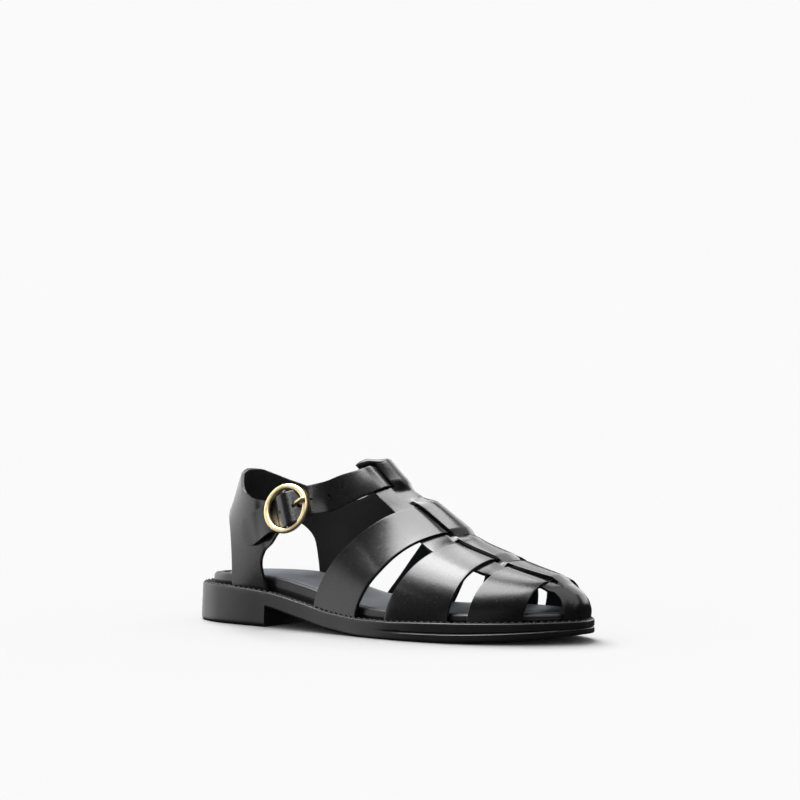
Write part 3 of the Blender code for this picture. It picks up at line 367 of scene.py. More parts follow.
breast = [math.acos(1 - 2 * (HEEL_LENGTH + run) / SHOE_LENGTH) for run in (0.0, HEEL_BREAST)]
plain_turns = [math.pi * k / SOLE_TURNS for k in range(SOLE_TURNS + 1)]
sole_turns = sorted([t for t in plain_turns if abs(t - breast[0]) > 0.6 * math.pi / SOLE_TURNS]
                    + breast)
ROUNDING = [(1 - math.cos(a), 1 - math.sin(a)) for a in np.linspace(0, math.pi / 2, 5)]
low_edge = [(0.13 * rise, inset * 1.5, 0.0) for rise, inset in ROUNDING]
groove = [(0.20, 0, 0), (0.28, 0, 0), (0.36, 0, 0), (0.405, 0, 0.02), (0.43, 0, 0.6),
          (0.45, 0, 1), (0.475, 0, 1.05), (0.50, 0, 1), (0.52, 0, 0.6), (0.545, 0, 0.02),
          (0.62, 0, 0), (0.72, 0, 0), (0.84, 0, 0)]
high_edge = [(1 - 0.07 * rise, inset, 0.0) for rise, inset in ROUNDING[::-1]]
sole_lines = [sole_wall(*line) for line in low_edge + groove + high_edge]


def stay_flat(point, share):
    return point.z


sole_unit = shoe_slab("sole_unit", sole_turns, sole_lines, stay_flat, stay_flat, SOLE_COLUMNS)
settle(sole_unit)

# Thermoplastic rubber, moulded against a finely blasted steel tool: an even satin black whose
# gloss breaks up a little. The blasting is about 0.1 mm; it is drawn at 0.8 mm to show at all.
RUBBER = ("#0b0b0b", "#101011")
RUBBER_GRIT = 0.0008
RUBBER_FLOW = 0.030


def new_material(name, **shader):
    """Material with a Principled shader, whose constants are set on its own sockets."""
    finish = bpy.data.materials.new(name)
    finish.use_nodes = True
    made = finish.node_tree.nodes["Principled BSDF"]
    for key, value in shader.items():
        made.inputs[key.replace("_", " ")].default_value = value
    return finish, finish.node_tree, made


def add_noise(tree, size, detail, rough=0.5):
    """Noise whose features are about size metres wide."""
    where = add_node(tree, "ShaderNodeTexCoord", {})
    return add_node(tree, "ShaderNodeTexNoise", {"Vector": where.outputs["Object"],
                                                 "Scale": 1 / size, "Detail": detail,
                                                 "Roughness": rough})


def add_range(tree, source, low, high, start=0.3, end=0.7):
    """Spread a pattern's middle from start to end over the range low to high."""
    return add_node(tree, "ShaderNodeMapRange", {"Value": source, "From Min": start,
                                                 "From Max": end, "To Min": low,
                                                 "To Max": high}).outputs[0]


def add_tones(tree, shader, source, codes):
    """Base colour between two tones of one finish."""
    mixed = add_node(tree, "ShaderNodeMix", {0: source, 6: colour(codes[0]), 7: colour(codes[1])},
                     data_type="RGBA")
    tree.links.new(mixed.outputs[2], shader.inputs["Base Color"])


def add_relief(tree, shader, patterns):
    """Bumps from (pattern, depth in metres), coarse first."""
    below = None
    for source, depth in patterns:
        inputs = {"Height": source, "Distance": depth, "Strength": 1.0}
        if below:
            inputs["Normal"] = below
        below = add_node(tree, "ShaderNodeBump", inputs).outputs["Normal"]
    tree.links.new(below, shader.inputs["Normal"])


rubber, tree, shader = new_material("moulded_black_rubber", IOR=1.5)
flow = add_noise(tree, RUBBER_FLOW, 3.0)
grit = add_noise(tree, RUBBER_GRIT, 2.0)
add_tones(tree, shader, add_range(tree, flow.outputs[0], 0, 1), RUBBER)
tree.links.new(add_range(tree, flow.outputs[0], 0.34, 0.42), shader.inputs["Roughness"])
add_relief(tree, shader, [(flow.outputs[0], 0.0002), (grit.outputs[0], 0.00004)])
sole_unit.data.materials.append(rubber)
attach(sole_unit, "root")
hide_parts("outsole")

# Footbed: a cork and foam board wrapped in thin black leather, which is turned in over a
# rounded rim. The sock is glued into the shallow recess between the rims.
LEATHER = 0.0020
GAP = 0.0003
LEDGE = 0.0022
FOOTBED_INSET = LEDGE + LEATHER + 0.0016
RIM_HEIGHT = 0.0085
RIM_LEAN = 0.0014
RIM_ROUND = 0.0012
RIM_FALL = 0.0028           # height of the rim's rounded shoulder
RIM_WIDTH = 0.0030
SOCK_THICKNESS = 0.0015
SOCK_PROUD = 0.0002
FOOTBED_CUP = 0.0018
WALL_TUCK = 0.0013          # how far the wrap is drawn in under its rim
BED_COLUMNS = 24


def rim_top(x):
    return sole_top(x) + sole_height(x, "rim") * RIM_HEIGHT


def sock_floor(x, share):
    """Floor of the footbed's recess, cupped between the rims."""
    cup = FOOTBED_CUP * (1 - (2 * share - 1) ** 2)
    return rim_top(x) - SOCK_THICKNESS - GAP + SOCK_PROUD - cup


def bed_line(inset, height):
    def level(turns, side):
        x, y = side_line(side, turns, FOOTBED_INSET + inset)
        return x, y, height(x)
    return level


def foot_height(x):
    return sole_top(x) + GAP * 0.3


def rim_line(inset, drop):
    return bed_line(inset, lambda x: rim_top(x) - drop)


wall_lines = []
for part in np.linspace(0.0, 0.85, 7):
    tuck = WALL_TUCK * (1 - math.sin(part * math.pi / 2)) + RIM_LEAN * 0.6 * part ** 2
    wall_lines.append(bed_line(tuck, lambda x, part=part:
                               foot_height(x) + part * (rim_top(x) - RIM_FALL - foot_height(x))))
for angle in np.linspace(0.0, math.pi / 2, 9):
    inset = RIM_LEAN * 0.5 + (RIM_LEAN * 0.3 + RIM_ROUND) * (1 - math.cos(angle))
    wall_lines.append(rim_line(inset, RIM_FALL * (1 - math.sin(angle))))
wall_lines += [rim_line(RIM_LEAN * 0.8 + RIM_ROUND + (RIM_WIDTH - RIM_LEAN * 0.8 - RIM_ROUND) * p,
                        RIM_ROUND * 0.25 * p ** 2) for p in (0.45, 0.85)]
wall_lines += [rim_line(RIM_WIDTH + RIM_ROUND * 0.1, RIM_ROUND * 0.45),
               rim_line(RIM_WIDTH + RIM_ROUND * 0.2, RIM_ROUND * 0.9),
               bed_line(RIM_WIDTH + RIM_ROUND * 0.25, lambda x: sock_floor(x, 0.0))]
footbed = shoe_slab("wrapped_footbed", plain_turns, wall_lines,
                    lambda point, share: float(foot_height(point.x)),
                    lambda point, share: float(sock_floor(point.x, share)), BED_COLUMNS)
settle(footbed)

# Full-grain cow leather, drum dyed black and given a semi-gloss spray finish: smooth, with a
# fine pore. The grain is about 0.4 mm wide; it is drawn at 0.9 mm, the least that shows.
LEATHER_TONES = ("#0b0b0c", "#101012")
GRAIN = 0.0009
PORE = 2.2                  # width of a pore's hollow in grains
PORE_DEPTH = 0.25           # its depth in that of the grain
PULL = 0.014                # slow waves where the leather was pulled over the last


def make_leather(name, tones, rough, grain_depth, pull_depth):
    """Dyed leather: grain cells and pores over slow waves, with a gloss that varies."""
    finish, tree, shader = new_material(name, IOR=1.5)
    pull = add_noise(tree, PULL, 3.0)
    where = add_node(tree, "ShaderNodeTexCoord", {})
    cells = add_node(tree, "ShaderNodeTexVoronoi", {"Vector": where.outputs["Object"],
                                                    "Scale": 1 / GRAIN, "Smoothness": 0.6},
                     feature="SMOOTH_F1")
    pores = add_noise(tree, GRAIN * PORE, 4.0, 0.65)
    add_tones(tree, shader, add_range(tree, pull.outputs[0], 0, 1), tones)
    tree.links.new(add_range(tree, pores.outputs[0], rough - 0.02, rough + 0.03),
                   shader.inputs["Roughness"])
    add_relief(tree, shader, [(pull.outputs[0], pull_depth),
                              (pores.outputs[0], grain_depth * PORE_DEPTH),
                              (cells.outputs["Distance"], grain_depth)])
    return finish


wrap_leather = make_leather("wrap_leather", LEATHER_TONES, 0.36, 0.00003, 0.0001)
footbed.data.materials.append(wrap_leather)
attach(footbed, "root")
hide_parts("footbed")

# Sock: the leather insole that the foot stands on, dark blue-grey, die cut and glued down. Its
# edge is turned down softly, and leaves a dark line inside the rim.
SOCK_SEAM = 0.0008
SOCK_TONES = ("#4c5058", "#5f636b")
sock_clear = RIM_WIDTH + RIM_ROUND * 0.2 + SOCK_SEAM


def sock_line(inset, lift):
    def level(turns, side):
        x, y = side_line(side, turns, FOOTBED_INSET + sock_clear + inset)
        return x, y, sock_floor(x, 0.0) + lift
    return level


sock_edge = [sock_line(0.0, GAP), sock_line(0.0, GAP + SOCK_THICKNESS * 0.5)]
for angle in np.linspace(math.pi / 8, math.pi / 2, 4):
    sock_edge.append(sock_line(SOCK_THICKNESS * 0.5 * (1 - math.cos(angle)),
                               GAP + SOCK_THICKNESS * (0.5 + 0.5 * math.sin(angle))))
sock = shoe_slab("sock", plain_turns, sock_edge,
                 lambda point, share: float(sock_floor(point.x, share)) + GAP,
                 lambda point, share: float(sock_floor(point.x, share)) + GAP + SOCK_THICKNESS,
                 BED_COLUMNS)
settle(sock)
sock.data.materials.append(make_leather("sock_leather", SOCK_TONES, 0.52, 0.00008, 0.0002))
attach(sock, "root")
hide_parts("sock_lining")

# Welt seam: black waxed thread, sewn by machine through the sole's ledge all round the shoe.
# Each stitch is 3 mm long and sinks at both ends.
STITCH_PITCH = 0.0040
STITCH_LENGTH = 0.0031
THREAD = 0.00040
SEAM_INSET = 0.0013


def add_tube(work, line, radii, sides, up):
    """Closed round bar along a line; up is a direction that is never along it."""
    line = np.asarray(line, float)
    ahead = np.gradient(line, axis=0)
    ahead /= np.maximum(np.linalg.norm(ahead, axis=1, keepdims=True), TINY)
    across = np.cross(ahead, np.asarray(up, float))
    across /= np.maximum(np.linalg.norm(across, axis=1, keepdims=True), TINY)
    over = np.cross(across, ahead)
    angles = 2 * math.pi * np.arange(sides) / sides
    rings = []
    for k in range(len(line)):
        ring = line[k] + radii[k] * (np.cos(angles)[:, None] * over[k]
                                     + np.sin(angles)[:, None] * across[k])
        rings.append([work.verts.new(point) for point in ring])
    for low, high in zip(rings, rings[1:]):
        for k in range(sides):
            n = (k + 1) % sides
            work.faces.new([low[k], low[n], high[n], high[k]])
    work.faces.new(rings[0][::-1])
    work.faces.new(rings[-1])


def add_stitches(work, line, pitch, length, radius, lift, normals):
    """Row of sunk stitches along a line of points, lifted along the normals."""
    run = np.concatenate([[0], np.cumsum(np.linalg.norm(np.diff(line, axis=0), axis=1))])
    count = int(run[-1] / pitch)
    part = np.linspace(-0.5, 0.5, 6)
    for k in range(count):
        here = (k + 0.5) * run[-1] / count + part * length
        points = np.stack([np.interp(here, run, line[:, c]) for c in range(3)], axis=1)
        rise = np.stack([np.interp(here, run, normals[:, c]) for c in range(3)], axis=1)
        arch = lift + radius * (1 - 2.4 * np.abs(2 * part) ** 3)
        add_tube(work, points + rise * arch[:, None], radius * (1 - 0.35 * np.abs(2 * part) ** 4),
                 6, rise.mean(axis=0))


def sew_welt(work):
    turns = np.linspace(0.0, math.pi, 400)
    for side in (-1, 1):
        x, y = side_line(side, turns, SEAM_INSET)
        line = np.stack([x, y, sole_top(x)], axis=1)
        up = np.tile([0.0, 0.0, 1.0], (len(line), 1))
        add_stitches(work, line, STITCH_PITCH, STITCH_LENGTH, THREAD, -0.0001, up)


welt_seam = add_mesh("welt_seam", sew_welt)
settle(welt_seam, 60.0)

# Waxed polyester thread: black, twisted, with a dull shine along each strand.
THREAD_TONES = ("#0a0a0b", "#161618")
TWIST = 0.0007
thread, tree, shader = new_material("waxed_black_thread", IOR=1.5, Roughness=0.5)
strands = add_noise(tree, TWIST, 1.0)
add_tones(tree, shader, add_range(tree, strands.outputs[0], 0, 1), THREAD_TONES)
add_relief(tree, shader, [(strands.outputs[0], 0.00015)])
welt_seam.data.materials.append(thread)
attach(welt_seam, "root")

# Cross straps: three strips of 2 mm leather, pulled over the last from one side of the sole to
# the other, over the band's margins and through its slits under the middle. Lasted and glued.
CENTRE_HALF = 0.0078
SLIT_WIDTH = 0.0024
WEAVE_BITE = 0.0002
WEAVE_RAMP = 0.0030
WEAVE_RISE = LEATHER - WEAVE_BITE
STRAP_SETTLE = 0.0280
UNDER_BAND = 0.0004
BAND_RISE = 0.0028
FOOT_SINK = 0.0004          # leather pressed into the sole's cement
EDGE_ROUND = 0.00055
STRAP_LINES = 21
STRAP_COLUMNS = 76
RIDGE_CROWDING = 0.55       # how much closer a strap's columns lie at the ridge
CORNER = 50.0               # degrees; a sharper corner is rounded

FanRow = namedtuple("FanRow", "name ridge_x ridge_z lateral_x medial_x crown_l crown_m sweep band")
FAN_ROWS = [
    FanRow("instep rear", 0.490, 1.000, 0.271, 0.233, 1.70, 1.90, 0.90, 0.185),
    FanRow("instep front", 0.538, 0.880, 0.349, 0.349, 1.75, 2.00, 0.90, 0.205),
    FanRow("third rear", 0.615, 0.757, 0.390, 0.414, 1.80, 2.10, 0.90, 0.250),
    FanRow("third front", 0.692, 0.613, 0.518, 0.581, 1.85, 2.10, 0.90, 0.290),
    FanRow("second rear", 0.718, 0.553, 0.605, 0.628, 1.90, 2.10, 0.90, 0.280),
    FanRow("second front", 0.800, 0.469, 0.762, 0.781, 2.00, 2.10, 0.90, 0.275),
    FanRow("first rear", 0.836, 0.430, 0.805, 0.803, 2.00, 2.10, 0.90, 0.250),
    FanRow("first front", 0.931, 0.361, 0.908, 0.916, 2.10, 2.00, 0.80, 0.159),
    FanRow("toe rear", 0.960, 0.333, 0.9720, 0.9695, 2.10, 2.10, 0.50, None),
    FanRow("toe brow", 0.984, 0.280, 0.9780, 0.9755, 2.10, 2.10, 0.20, None),
    FanRow("toe front", 0.993, 0.212, 0.9830, 0.9810, 2.10, 2.10, 0.00, None),
]
RIDGE_LEAN = (0.26, 0.74)
FAN_SAMPLES = 160
SIDE_SHARES = np.linspace(-1.0, 1.0, 2 * FAN_SAMPLES + 1)
DENSE_TURNS = np.linspace(0.0, math.pi, 481)
LEDGE_LINES = {side: side_line(side, DENSE_TURNS, LEDGE) for side in (-1, 1)}


def on_ledge(x, side):
    """Point of the straps' outer line on the sole's ledge."""
    xs, ys = LEDGE_LINES[side]
    return np.array([x, float(np.interp(x, xs, ys)), float(sole_top(x))])


def even_steps(line, count):
    length = np.concatenate([[0.0], np.cumsum(np.linalg.norm(np.diff(line, axis=0), axis=1))])
    wanted = np.linspace(0.0, length[-1], count + 1)
    return np.stack([np.interp(wanted, length, line[:, k]) for k in range(3)], axis=1)


def fan_section(row):
    """Outer face of one strap edge: base, ridge, base, in even steps along the leather."""
    start = FAN_ROWS[0].ridge_x
    gained = (row.ridge_x - start) / (1 - start)
    ridge = np.array([row.ridge_x * SHOE_LENGTH - HEEL_SEAT,
                      TOE_BEND * (RIDGE_LEAN[0] + RIDGE_LEAN[1] * gained),
                      row.ridge_z * INSTEP_HEIGHT])
    halves = []
    for side, share, crown in ((-1, row.lateral_x, row.crown_l), (1, row.medial_x, row.crown_m)):
        base = on_ledge(share * SHOE_LENGTH - HEEL_SEAT, side)
        angle = np.linspace(0.0, math.pi / 2, 6 * FAN_SAMPLES)
        out = np.sin(angle) ** (2 / crown)
        up = np.maximum(np.cos(angle), 0.0) ** (2 / crown)
        sweep = row.sweep if side < 0 else 0.0
        lean = sweep * out + (1 - sweep) * (1 - up)
        halves.append(even_steps(ridge + np.stack([lean, out, 1 - up], axis=1) * (base - ridge),
                                 FAN_SAMPLES))
    return np.concatenate([halves[0][:0:-1], halves[1]])


def toe_base():
    """The last section: the ledge line round the toe, from one corner of the toe piece."""
    onward = (FAN_ROWS[-1].lateral_x - FAN_ROWS[-2].lateral_x) * SHOE_LENGTH * 0.7
    x_outer = FAN_ROWS[-1].lateral_x * SHOE_LENGTH - HEEL_SEAT + onward
    x_inner = FAN_ROWS[-1].medial_x * SHOE_LENGTH - HEEL_SEAT + onward
    outer = np.stack(LEDGE_LINES[-1], axis=1)
    inner = np.stack(LEDGE_LINES[1], axis=1)
    flat = np.concatenate([[on_ledge(x_outer, -1)[:2]], outer[outer[:, 0] > x_outer],
                           inner[inner[:, 0] > x_inner][::-1], [on_ledge(x_inner, 1)[:2]]])
    return even_steps(np.concatenate([flat, sole_top(flat[:, :1])], axis=1), 2 * FAN_SAMPLES)


FAN = np.stack([fan_section(row) for row in FAN_ROWS] + [toe_base()])
FAN_STATIONS = np.arange(len(FAN), dtype=float)
TOE_REAR = 8
ARCS = np.array([[np.linalg.norm(np.diff(line[:FAN_SAMPLES + 1], axis=0), axis=1).sum(),
                  np.linalg.norm(np.diff(line[FAN_SAMPLES:], axis=0), axis=1).sum()]
                 for line in FAN])


def fan_point(station, share):
    """Point of the last surface at a station and a share of its side, -1 to 1."""
    line = smooth(FAN_STATIONS, FAN, np.array([station]))[0]
    return np.stack([np.interp(share, SIDE_SHARES, line[:, k]) for k in range(3)], axis=-1)


def fan_normal(station, share):
    step = 0.02
    low = np.clip(station - step, 0, FAN_STATIONS[-1])
    high = np.clip(station + step, 0, FAN_STATIONS[-1])
    along = fan_point(high, share) - fan_point(low, share)
    left = np.clip(share - step, -1, 1)
    right = np.clip(share + step, -1, 1)
    normal = np.cross(along, fan_point(station, right) - fan_point(station, left))
    return normal / np.maximum(np.linalg.norm(normal, axis=-1, keepdims=True), TINY)


def side_arc(station, side):
    return float(smooth(FAN_STATIONS, ARCS, np.array([station]))[0][0 if side < 0 else 1])


def band_half(station):
    """Half width of the T-bar band, which flares to the whole toe piece."""
    known = [row.band for row in FAN_ROWS[:TOE_REAR]]
    return float(smooth(FAN_STATIONS[:TOE_REAR], known, np.array([station]))[0]) * BALL_WIDTH


def fan_surface(stations, distances, heights):
    """Grid of points from distances each side of the ridge, lifted off the last surface."""
    grid = []
    for station, both, lift in zip(stations, distances, heights):
        share = np.where(both < 0, both / side_arc(station, -1), both / side_arc(station, 1))
        grid.append(fan_point(station, share) + fan_normal(station, share) * lift[:, None])
    return np.array(grid)


def cut_leather(name, grid, thickness, finishes, open_cells=()):
    """Leather cut to a grid of points on its outer face, with its edges rounded."""
    def build(work):
        verts = [[work.verts.new(point) for point in row] for row in grid]
        for i in range(len(grid) - 1):
            for j in range(len(grid[0]) - 1):
                if (i, j) in open_cells:
                    continue
                work.faces.new([verts[i][j], verts[i + 1][j], verts[i + 1][j + 1], verts[i][j + 1]])
        loose = [vert for vert in work.verts if not vert.link_faces]
        bmesh.ops.delete(work, geom=loose, context="VERTS")

    thing = add_mesh(name, build)
    for finish in finishes:
        thing.data.materials.append(finish)
    solid = thing.modifiers.new("thickness", "SOLIDIFY")
    solid.thickness = thickness
    solid.offset = -1.0
    solid.thickness_clamp = 0.0
    solid.material_offset = 2
    solid.material_offset_rim = 1
    edge = thing.modifiers.new("rounded edges", "BEVEL")
    edge.width = EDGE_ROUND
    edge.segments = 3
    edge.limit_method = "ANGLE"
    edge.angle_limit = math.radians(CORNER)
    return thing


upper_leather = make_leather("semi_gloss_leather", LEATHER_TONES, 0.25, 0.000022, 0.00008)

# Edge paint: two coats of black acrylic on the cut edges, a little duller than the face, and
# the flesh side, which is sueded and quite matt.
EDGE_TONES = ("#0a0a0b", "#111112")
FLESH_TONES = ("#222223", "#2b2b2d")
edge_paint, tree, shader = new_material("black_edge_paint", IOR=1.47)
brushed = add_noise(tree, 0.003, 3.0)
add_tones(tree, shader, add_range(tree, brushed.outputs[0], 0, 1), EDGE_TONES)
tree.links.new(add_range(tree, brushed.outputs[0], 0.26, 0.36), shader.inputs["Roughness"])
add_relief(tree, shader, [(brushed.outputs[0], 0.0001)])
flesh_side, tree, shader = new_material("black_flesh_side", IOR=1.5, Specular_IOR_Level=0.1)
nap = add_noise(tree, 0.0010, 4.0, 0.7)
add_tones(tree, shader, add_range(tree, nap.outputs[0], 0, 1), FLESH_TONES)
tree.links.new(add_range(tree, nap.outputs[0], 0.55, 0.75), shader.inputs["Roughness"])
add_relief(tree, shader, [(nap.outputs[0], 0.00012)])
LEATHER_FACES = (upper_leather, edge_paint, flesh_side)


def strap_heights(station, distance):
    """Strap's outer face: under the middle of the band, over its margins, then on the last."""
    band = band_half(station)
    keys = [0.0, CENTRE_HALF, CENTRE_HALF + SLIT_WIDTH,
            CENTRE_HALF + SLIT_WIDTH + WEAVE_RAMP, band + SLIT_WIDTH, band + STRAP_SETTLE]
    values = [UNDER_BAND, UNDER_BAND, WEAVE_RISE * 0.75, WEAVE_RISE, WEAVE_RISE, 0.0]
    return smooth(keys, values, np.abs(distance))


def with_feet(grid):
    """Grid with its two ends carried on down into the cement."""
    drop = np.array([0.0, 0.0, -FOOT_SINK])
    return np.concatenate([grid[:, :1] + drop, grid, grid[:, -1:] + drop], axis=1)


def make_strap(name, rear):
    """Cross strap between the fan rows rear and rear + 1, from ledge to ledge."""
    stations = np.linspace(rear, rear + 1.0, STRAP_LINES)
    spread = np.linspace(0.0, 1.0, STRAP_COLUMNS)
    distances = []
    for station in stations:
        near = (1 - RIDGE_CROWDING) * spread + RIDGE_CROWDING * spread ** 1.6
        outer = -near[:0:-1] * side_arc(station, -1)
        distances.append(np.concatenate([outer, near * side_arc(station, 1)]))
    heights = [strap_heights(s, d) for s, d in zip(stations, distances)]
    return cut_leather(name, with_feet(fan_surface(stations, distances, heights)), LEATHER,
                       LEATHER_FACES)


for name, rear in (("third_strap", 2), ("second_strap", 4), ("first_strap", 6)):
    strap = make_strap(name, rear)
    settle(strap)
    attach(strap, "root")
    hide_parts("upper")

# T-bar band: one piece of the same leather from the toe to the instep, slit in pairs for the
# straps. It spreads into the closed toe, and its top end is rolled back on itself.
SLIT_SPARE = 0.0024
SLIT_FALL = 0.0100          # the raised middle comes down over this length at a strap's edge
SLIT_LEAD = 0.0025          # and starts this far before it
MIDDLE_CROWN = 0.0005       # how much lower the raised middle is at its edges
BAND_ROLL = 0.0028
ROLL_SPREAD = 1.0           # how far the roll stands back past the slits, in its radius
ROLL_BACK = 0.1             # and over the ridge
ROLL_TAPER = 0.4            # how much thinner it is at its two ends
ROLL_TURNS = (84, 70, 56, 42, 28, 14)
MIDDLE_MOST = 0.62          # the most of a narrow row that its middle and slits take
STRAP_REARS = (0, 2, 4, 6)  # fan rows at the rear edges of the four straps
TOE_EDGE = [(0.36, 0.00), (0.40, 0.45), (0.54, 0.80), (0.76, 0.93), (1.00, 1.00)]
MIDDLE_LINES = 9
MARGIN_LINES = 14


def metres_per_station(station):
    """Length along the ridge that one station takes up."""
    whole = min(math.floor(station), len(FAN) - 2)
    ahead = fan_point(whole + 1, np.array([0.0])) - fan_point(whole, np.array([0.0]))
    return float(np.linalg.norm(ahead))


def toe_edge_rows():
    """Stations of the toe piece's rear edge, and the share of the section it reaches."""
    share, onward = zip(*TOE_EDGE)
    wanted = np.concatenate([np.linspace(0.36, 0.54, 10)[1:], np.linspace(0.54, 1.0, 14)[1:]])
    return list(zip(TOE_REAR - 1 + smooth(share, onward, wanted), wanted))


def band_rows():
    """Rows of the band: station, how far its middle is raised, open slit after it, edge."""
    rows = []
    for rear in STRAP_REARS:
        before = rear - SLIT_SPARE / metres_per_station(rear - 1) if rear else 0.0
        after = rear + 1 + SLIT_SPARE / metres_per_station(rear + 1)
        if rear:
            start = rear - 1 + SLIT_SPARE / metres_per_station(rear - 1)
            for station in np.linspace(start, before, 12)[1:-1]:
                rows.append((station, False))
            rows.append((before, True))
        rows += [(station, True) for station in np.linspace(rear, rear + 1, 17)]
        rows.append((after, False))
    found = []
    for station, is_open in rows:
        found.append((station, raised(station), is_open, None))
    last = found[-1][0]
    for station, share in toe_edge_rows():
        if station > last + 0.02:
            found.append((station, raised(station), False, share))
    for station in np.linspace(TOE_REAR, len(FAN) - 1, 37)[1:]:
        found.append((station, 0.0, False, 1.0))
    return found


def raised(station):
    """1 where a strap runs under the band's middle, down to 0 a little past its edges."""
    best = 0.0
    for rear in STRAP_REARS:
        gap = rear - station if station < rear + 0.5 else station - rear - 1
        past = gap * metres_per_station(station) + (SLIT_LEAD if station > rear + 0.5 else 0.0)
        best = max(best, 1 - float(ease(past / SLIT_FALL)))
    return best


def band_distances(station, share, side):
    """Distances of the band's lines on one side, ridge to its edge."""
    arc = side_arc(station, side)
    edge = band_half(min(station, TOE_REAR - 1.0)) if share is None else arc * share
    reach = CENTRE_HALF + SLIT_WIDTH + WEAVE_RAMP
    squeeze = min(1.0, MIDDLE_MOST * edge / reach)
    middle = np.linspace(0.0, CENTRE_HALF, MIDDLE_LINES) * squeeze
    margin = np.linspace((CENTRE_HALF + SLIT_WIDTH) * squeeze, edge, MARGIN_LINES)
    return np.concatenate([middle, margin])


def make_band():
    rows = band_rows()
    distances = []
    heights = []
    for station, lift, _, share in rows:
        outer = band_distances(station, share, -1)
        inner = band_distances(station, share, 1)
        distances.append(np.concatenate([-outer[:0:-1], inner]))
        crown = MIDDLE_CROWN * np.linspace(0.0, 1.0, MIDDLE_LINES) ** 2
        one_side = np.concatenate([lift * (BAND_RISE - crown), np.zeros(MARGIN_LINES)])
        heights.append(np.concatenate([one_side[:0:-1], one_side]))
    grid = fan_surface([row[0] for row in rows], distances, heights)
    drop = np.array([0.0, 0.0, -FOOT_SINK])
    full = sum(1 for row in rows if row[3] == 1.0)
    grid[-full:, (0, -1)] += drop
    start = distances[0]
    shares = np.where(start < 0, start / side_arc(0.0, -1), start / side_arc(0.0, 1))
    back = back_of_band(shares) * BAND_ROLL
    down = fan_normal(0.0, shares) * -BAND_ROLL
    lead = [grid[:1] + back * math.sin(turn) + down * (1 - math.cos(turn))
            for turn in np.radians(ROLL_TURNS)]
    grid = np.concatenate(lead + [grid, grid[-1:] + drop])
    middle = len(start) // 2
    windows = (middle + MIDDLE_LINES - 1, middle - MIDDLE_LINES)
    open_rows = list(range(len(lead))) + [len(lead) + i for i, row in enumerate(rows) if row[2]]
    cells = {(i, j) for i in open_rows for j in windows}
    return cut_leather("t_bar_band", grid, LEATHER, LEATHER_FACES, cells)


def back_of_band(shares):
    """Direction up and back along the last surface at the band's top end."""
    ahead = fan_point(0.05, shares) - fan_point(0.0, shares)
    return -ahead / np.linalg.norm(ahead, axis=1, keepdims=True)


def roll_end(work):
    """Band's top end, rolled over and under behind the instep strap."""
    half = band_half(0.0) - BAND_ROLL * 0.3
    reach = half * np.sin(np.linspace(-math.pi / 2, math.pi / 2, 41))
    shares = np.where(reach < 0, reach / side_arc(0.0, -1), reach / side_arc(0.0, 1))
    start = fan_point(0.0, shares)
    normal = fan_normal(0.0, shares)
    back = back_of_band(shares)
    spread = np.minimum((reach / CENTRE_HALF) ** 2, 1.0)
    radius = BAND_ROLL * (1 - ROLL_TAPER * np.abs(reach / half) ** 6)
    rings = []
    for angle in np.linspace(0.0, 2 * math.pi, 29)[:-1]:
        out = BAND_ROLL * (ROLL_BACK + ROLL_SPREAD * spread) + radius * math.sin(angle)
        lift = BAND_RISE - BAND_ROLL + radius * math.cos(angle)
        line = start + back * out[:, None] + normal * lift[:, None]
        rings.append([work.verts.new(point) for point in line])
    for ring, after in zip(rings, rings[1:] + rings[:1]):
        for j in range(len(reach) - 1):
            work.faces.new([ring[j], ring[j + 1], after[j + 1], after[j]])
    work.faces.new([ring[0] for ring in rings])
    work.faces.new([ring[-1] for ring in rings[::-1]])


band = make_band()
settle(band)
rolled_end = add_mesh("rolled_end", roll_end)
rolled_end.data.materials.append(upper_leather)
settle(rolled_end, 50.0)
for piece in (band, rolled_end):
    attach(piece, "root")
    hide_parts("upper")

# Quarter and instep strap: cut in one from 1.8 mm leather. It runs from the buckle's tab round
# the heel, down to the sole in two legs, over the instep, and back through the ring.
QUARTER_LEATHER = 0.0018
TAB_LEATHER = 0.0009
RING_RADIUS = 0.0130
RING_WIRE = 0.0014
BAR_RADIUS = 0.0008
STRAP_WIDTH = 0.0170
TAB_HALF = 0.0082
BAR_COVER = 0.0108          # half the length of bar that the folded tab covers
HOLE_HALF = 0.0014          # half the notch in the tab
PIN_HALF = 0.0010           # half the hole that the prong goes through
STRAP_FULL = 0.0026         # how much deeper the strap is where it bulges in the ring
HOLE_ROW = 14               # place in STRAP_ALONG that the prong goes through
HOLE_PITCH = 0.0105
HOLE_RADIUS = 0.0008
HOLE_DEPTH = 0.0013
TIP_ROUND = 0.0066          # length of the free end's round tongue
TIP_CURVE = 2.4             # 2 is a half circle, more is squarer
TIP_LEAST = 0.16            # width of its very end, in the strap's
FULL_EASE = 0.7             # run, in ring radii, over which the strap deepens in the ring

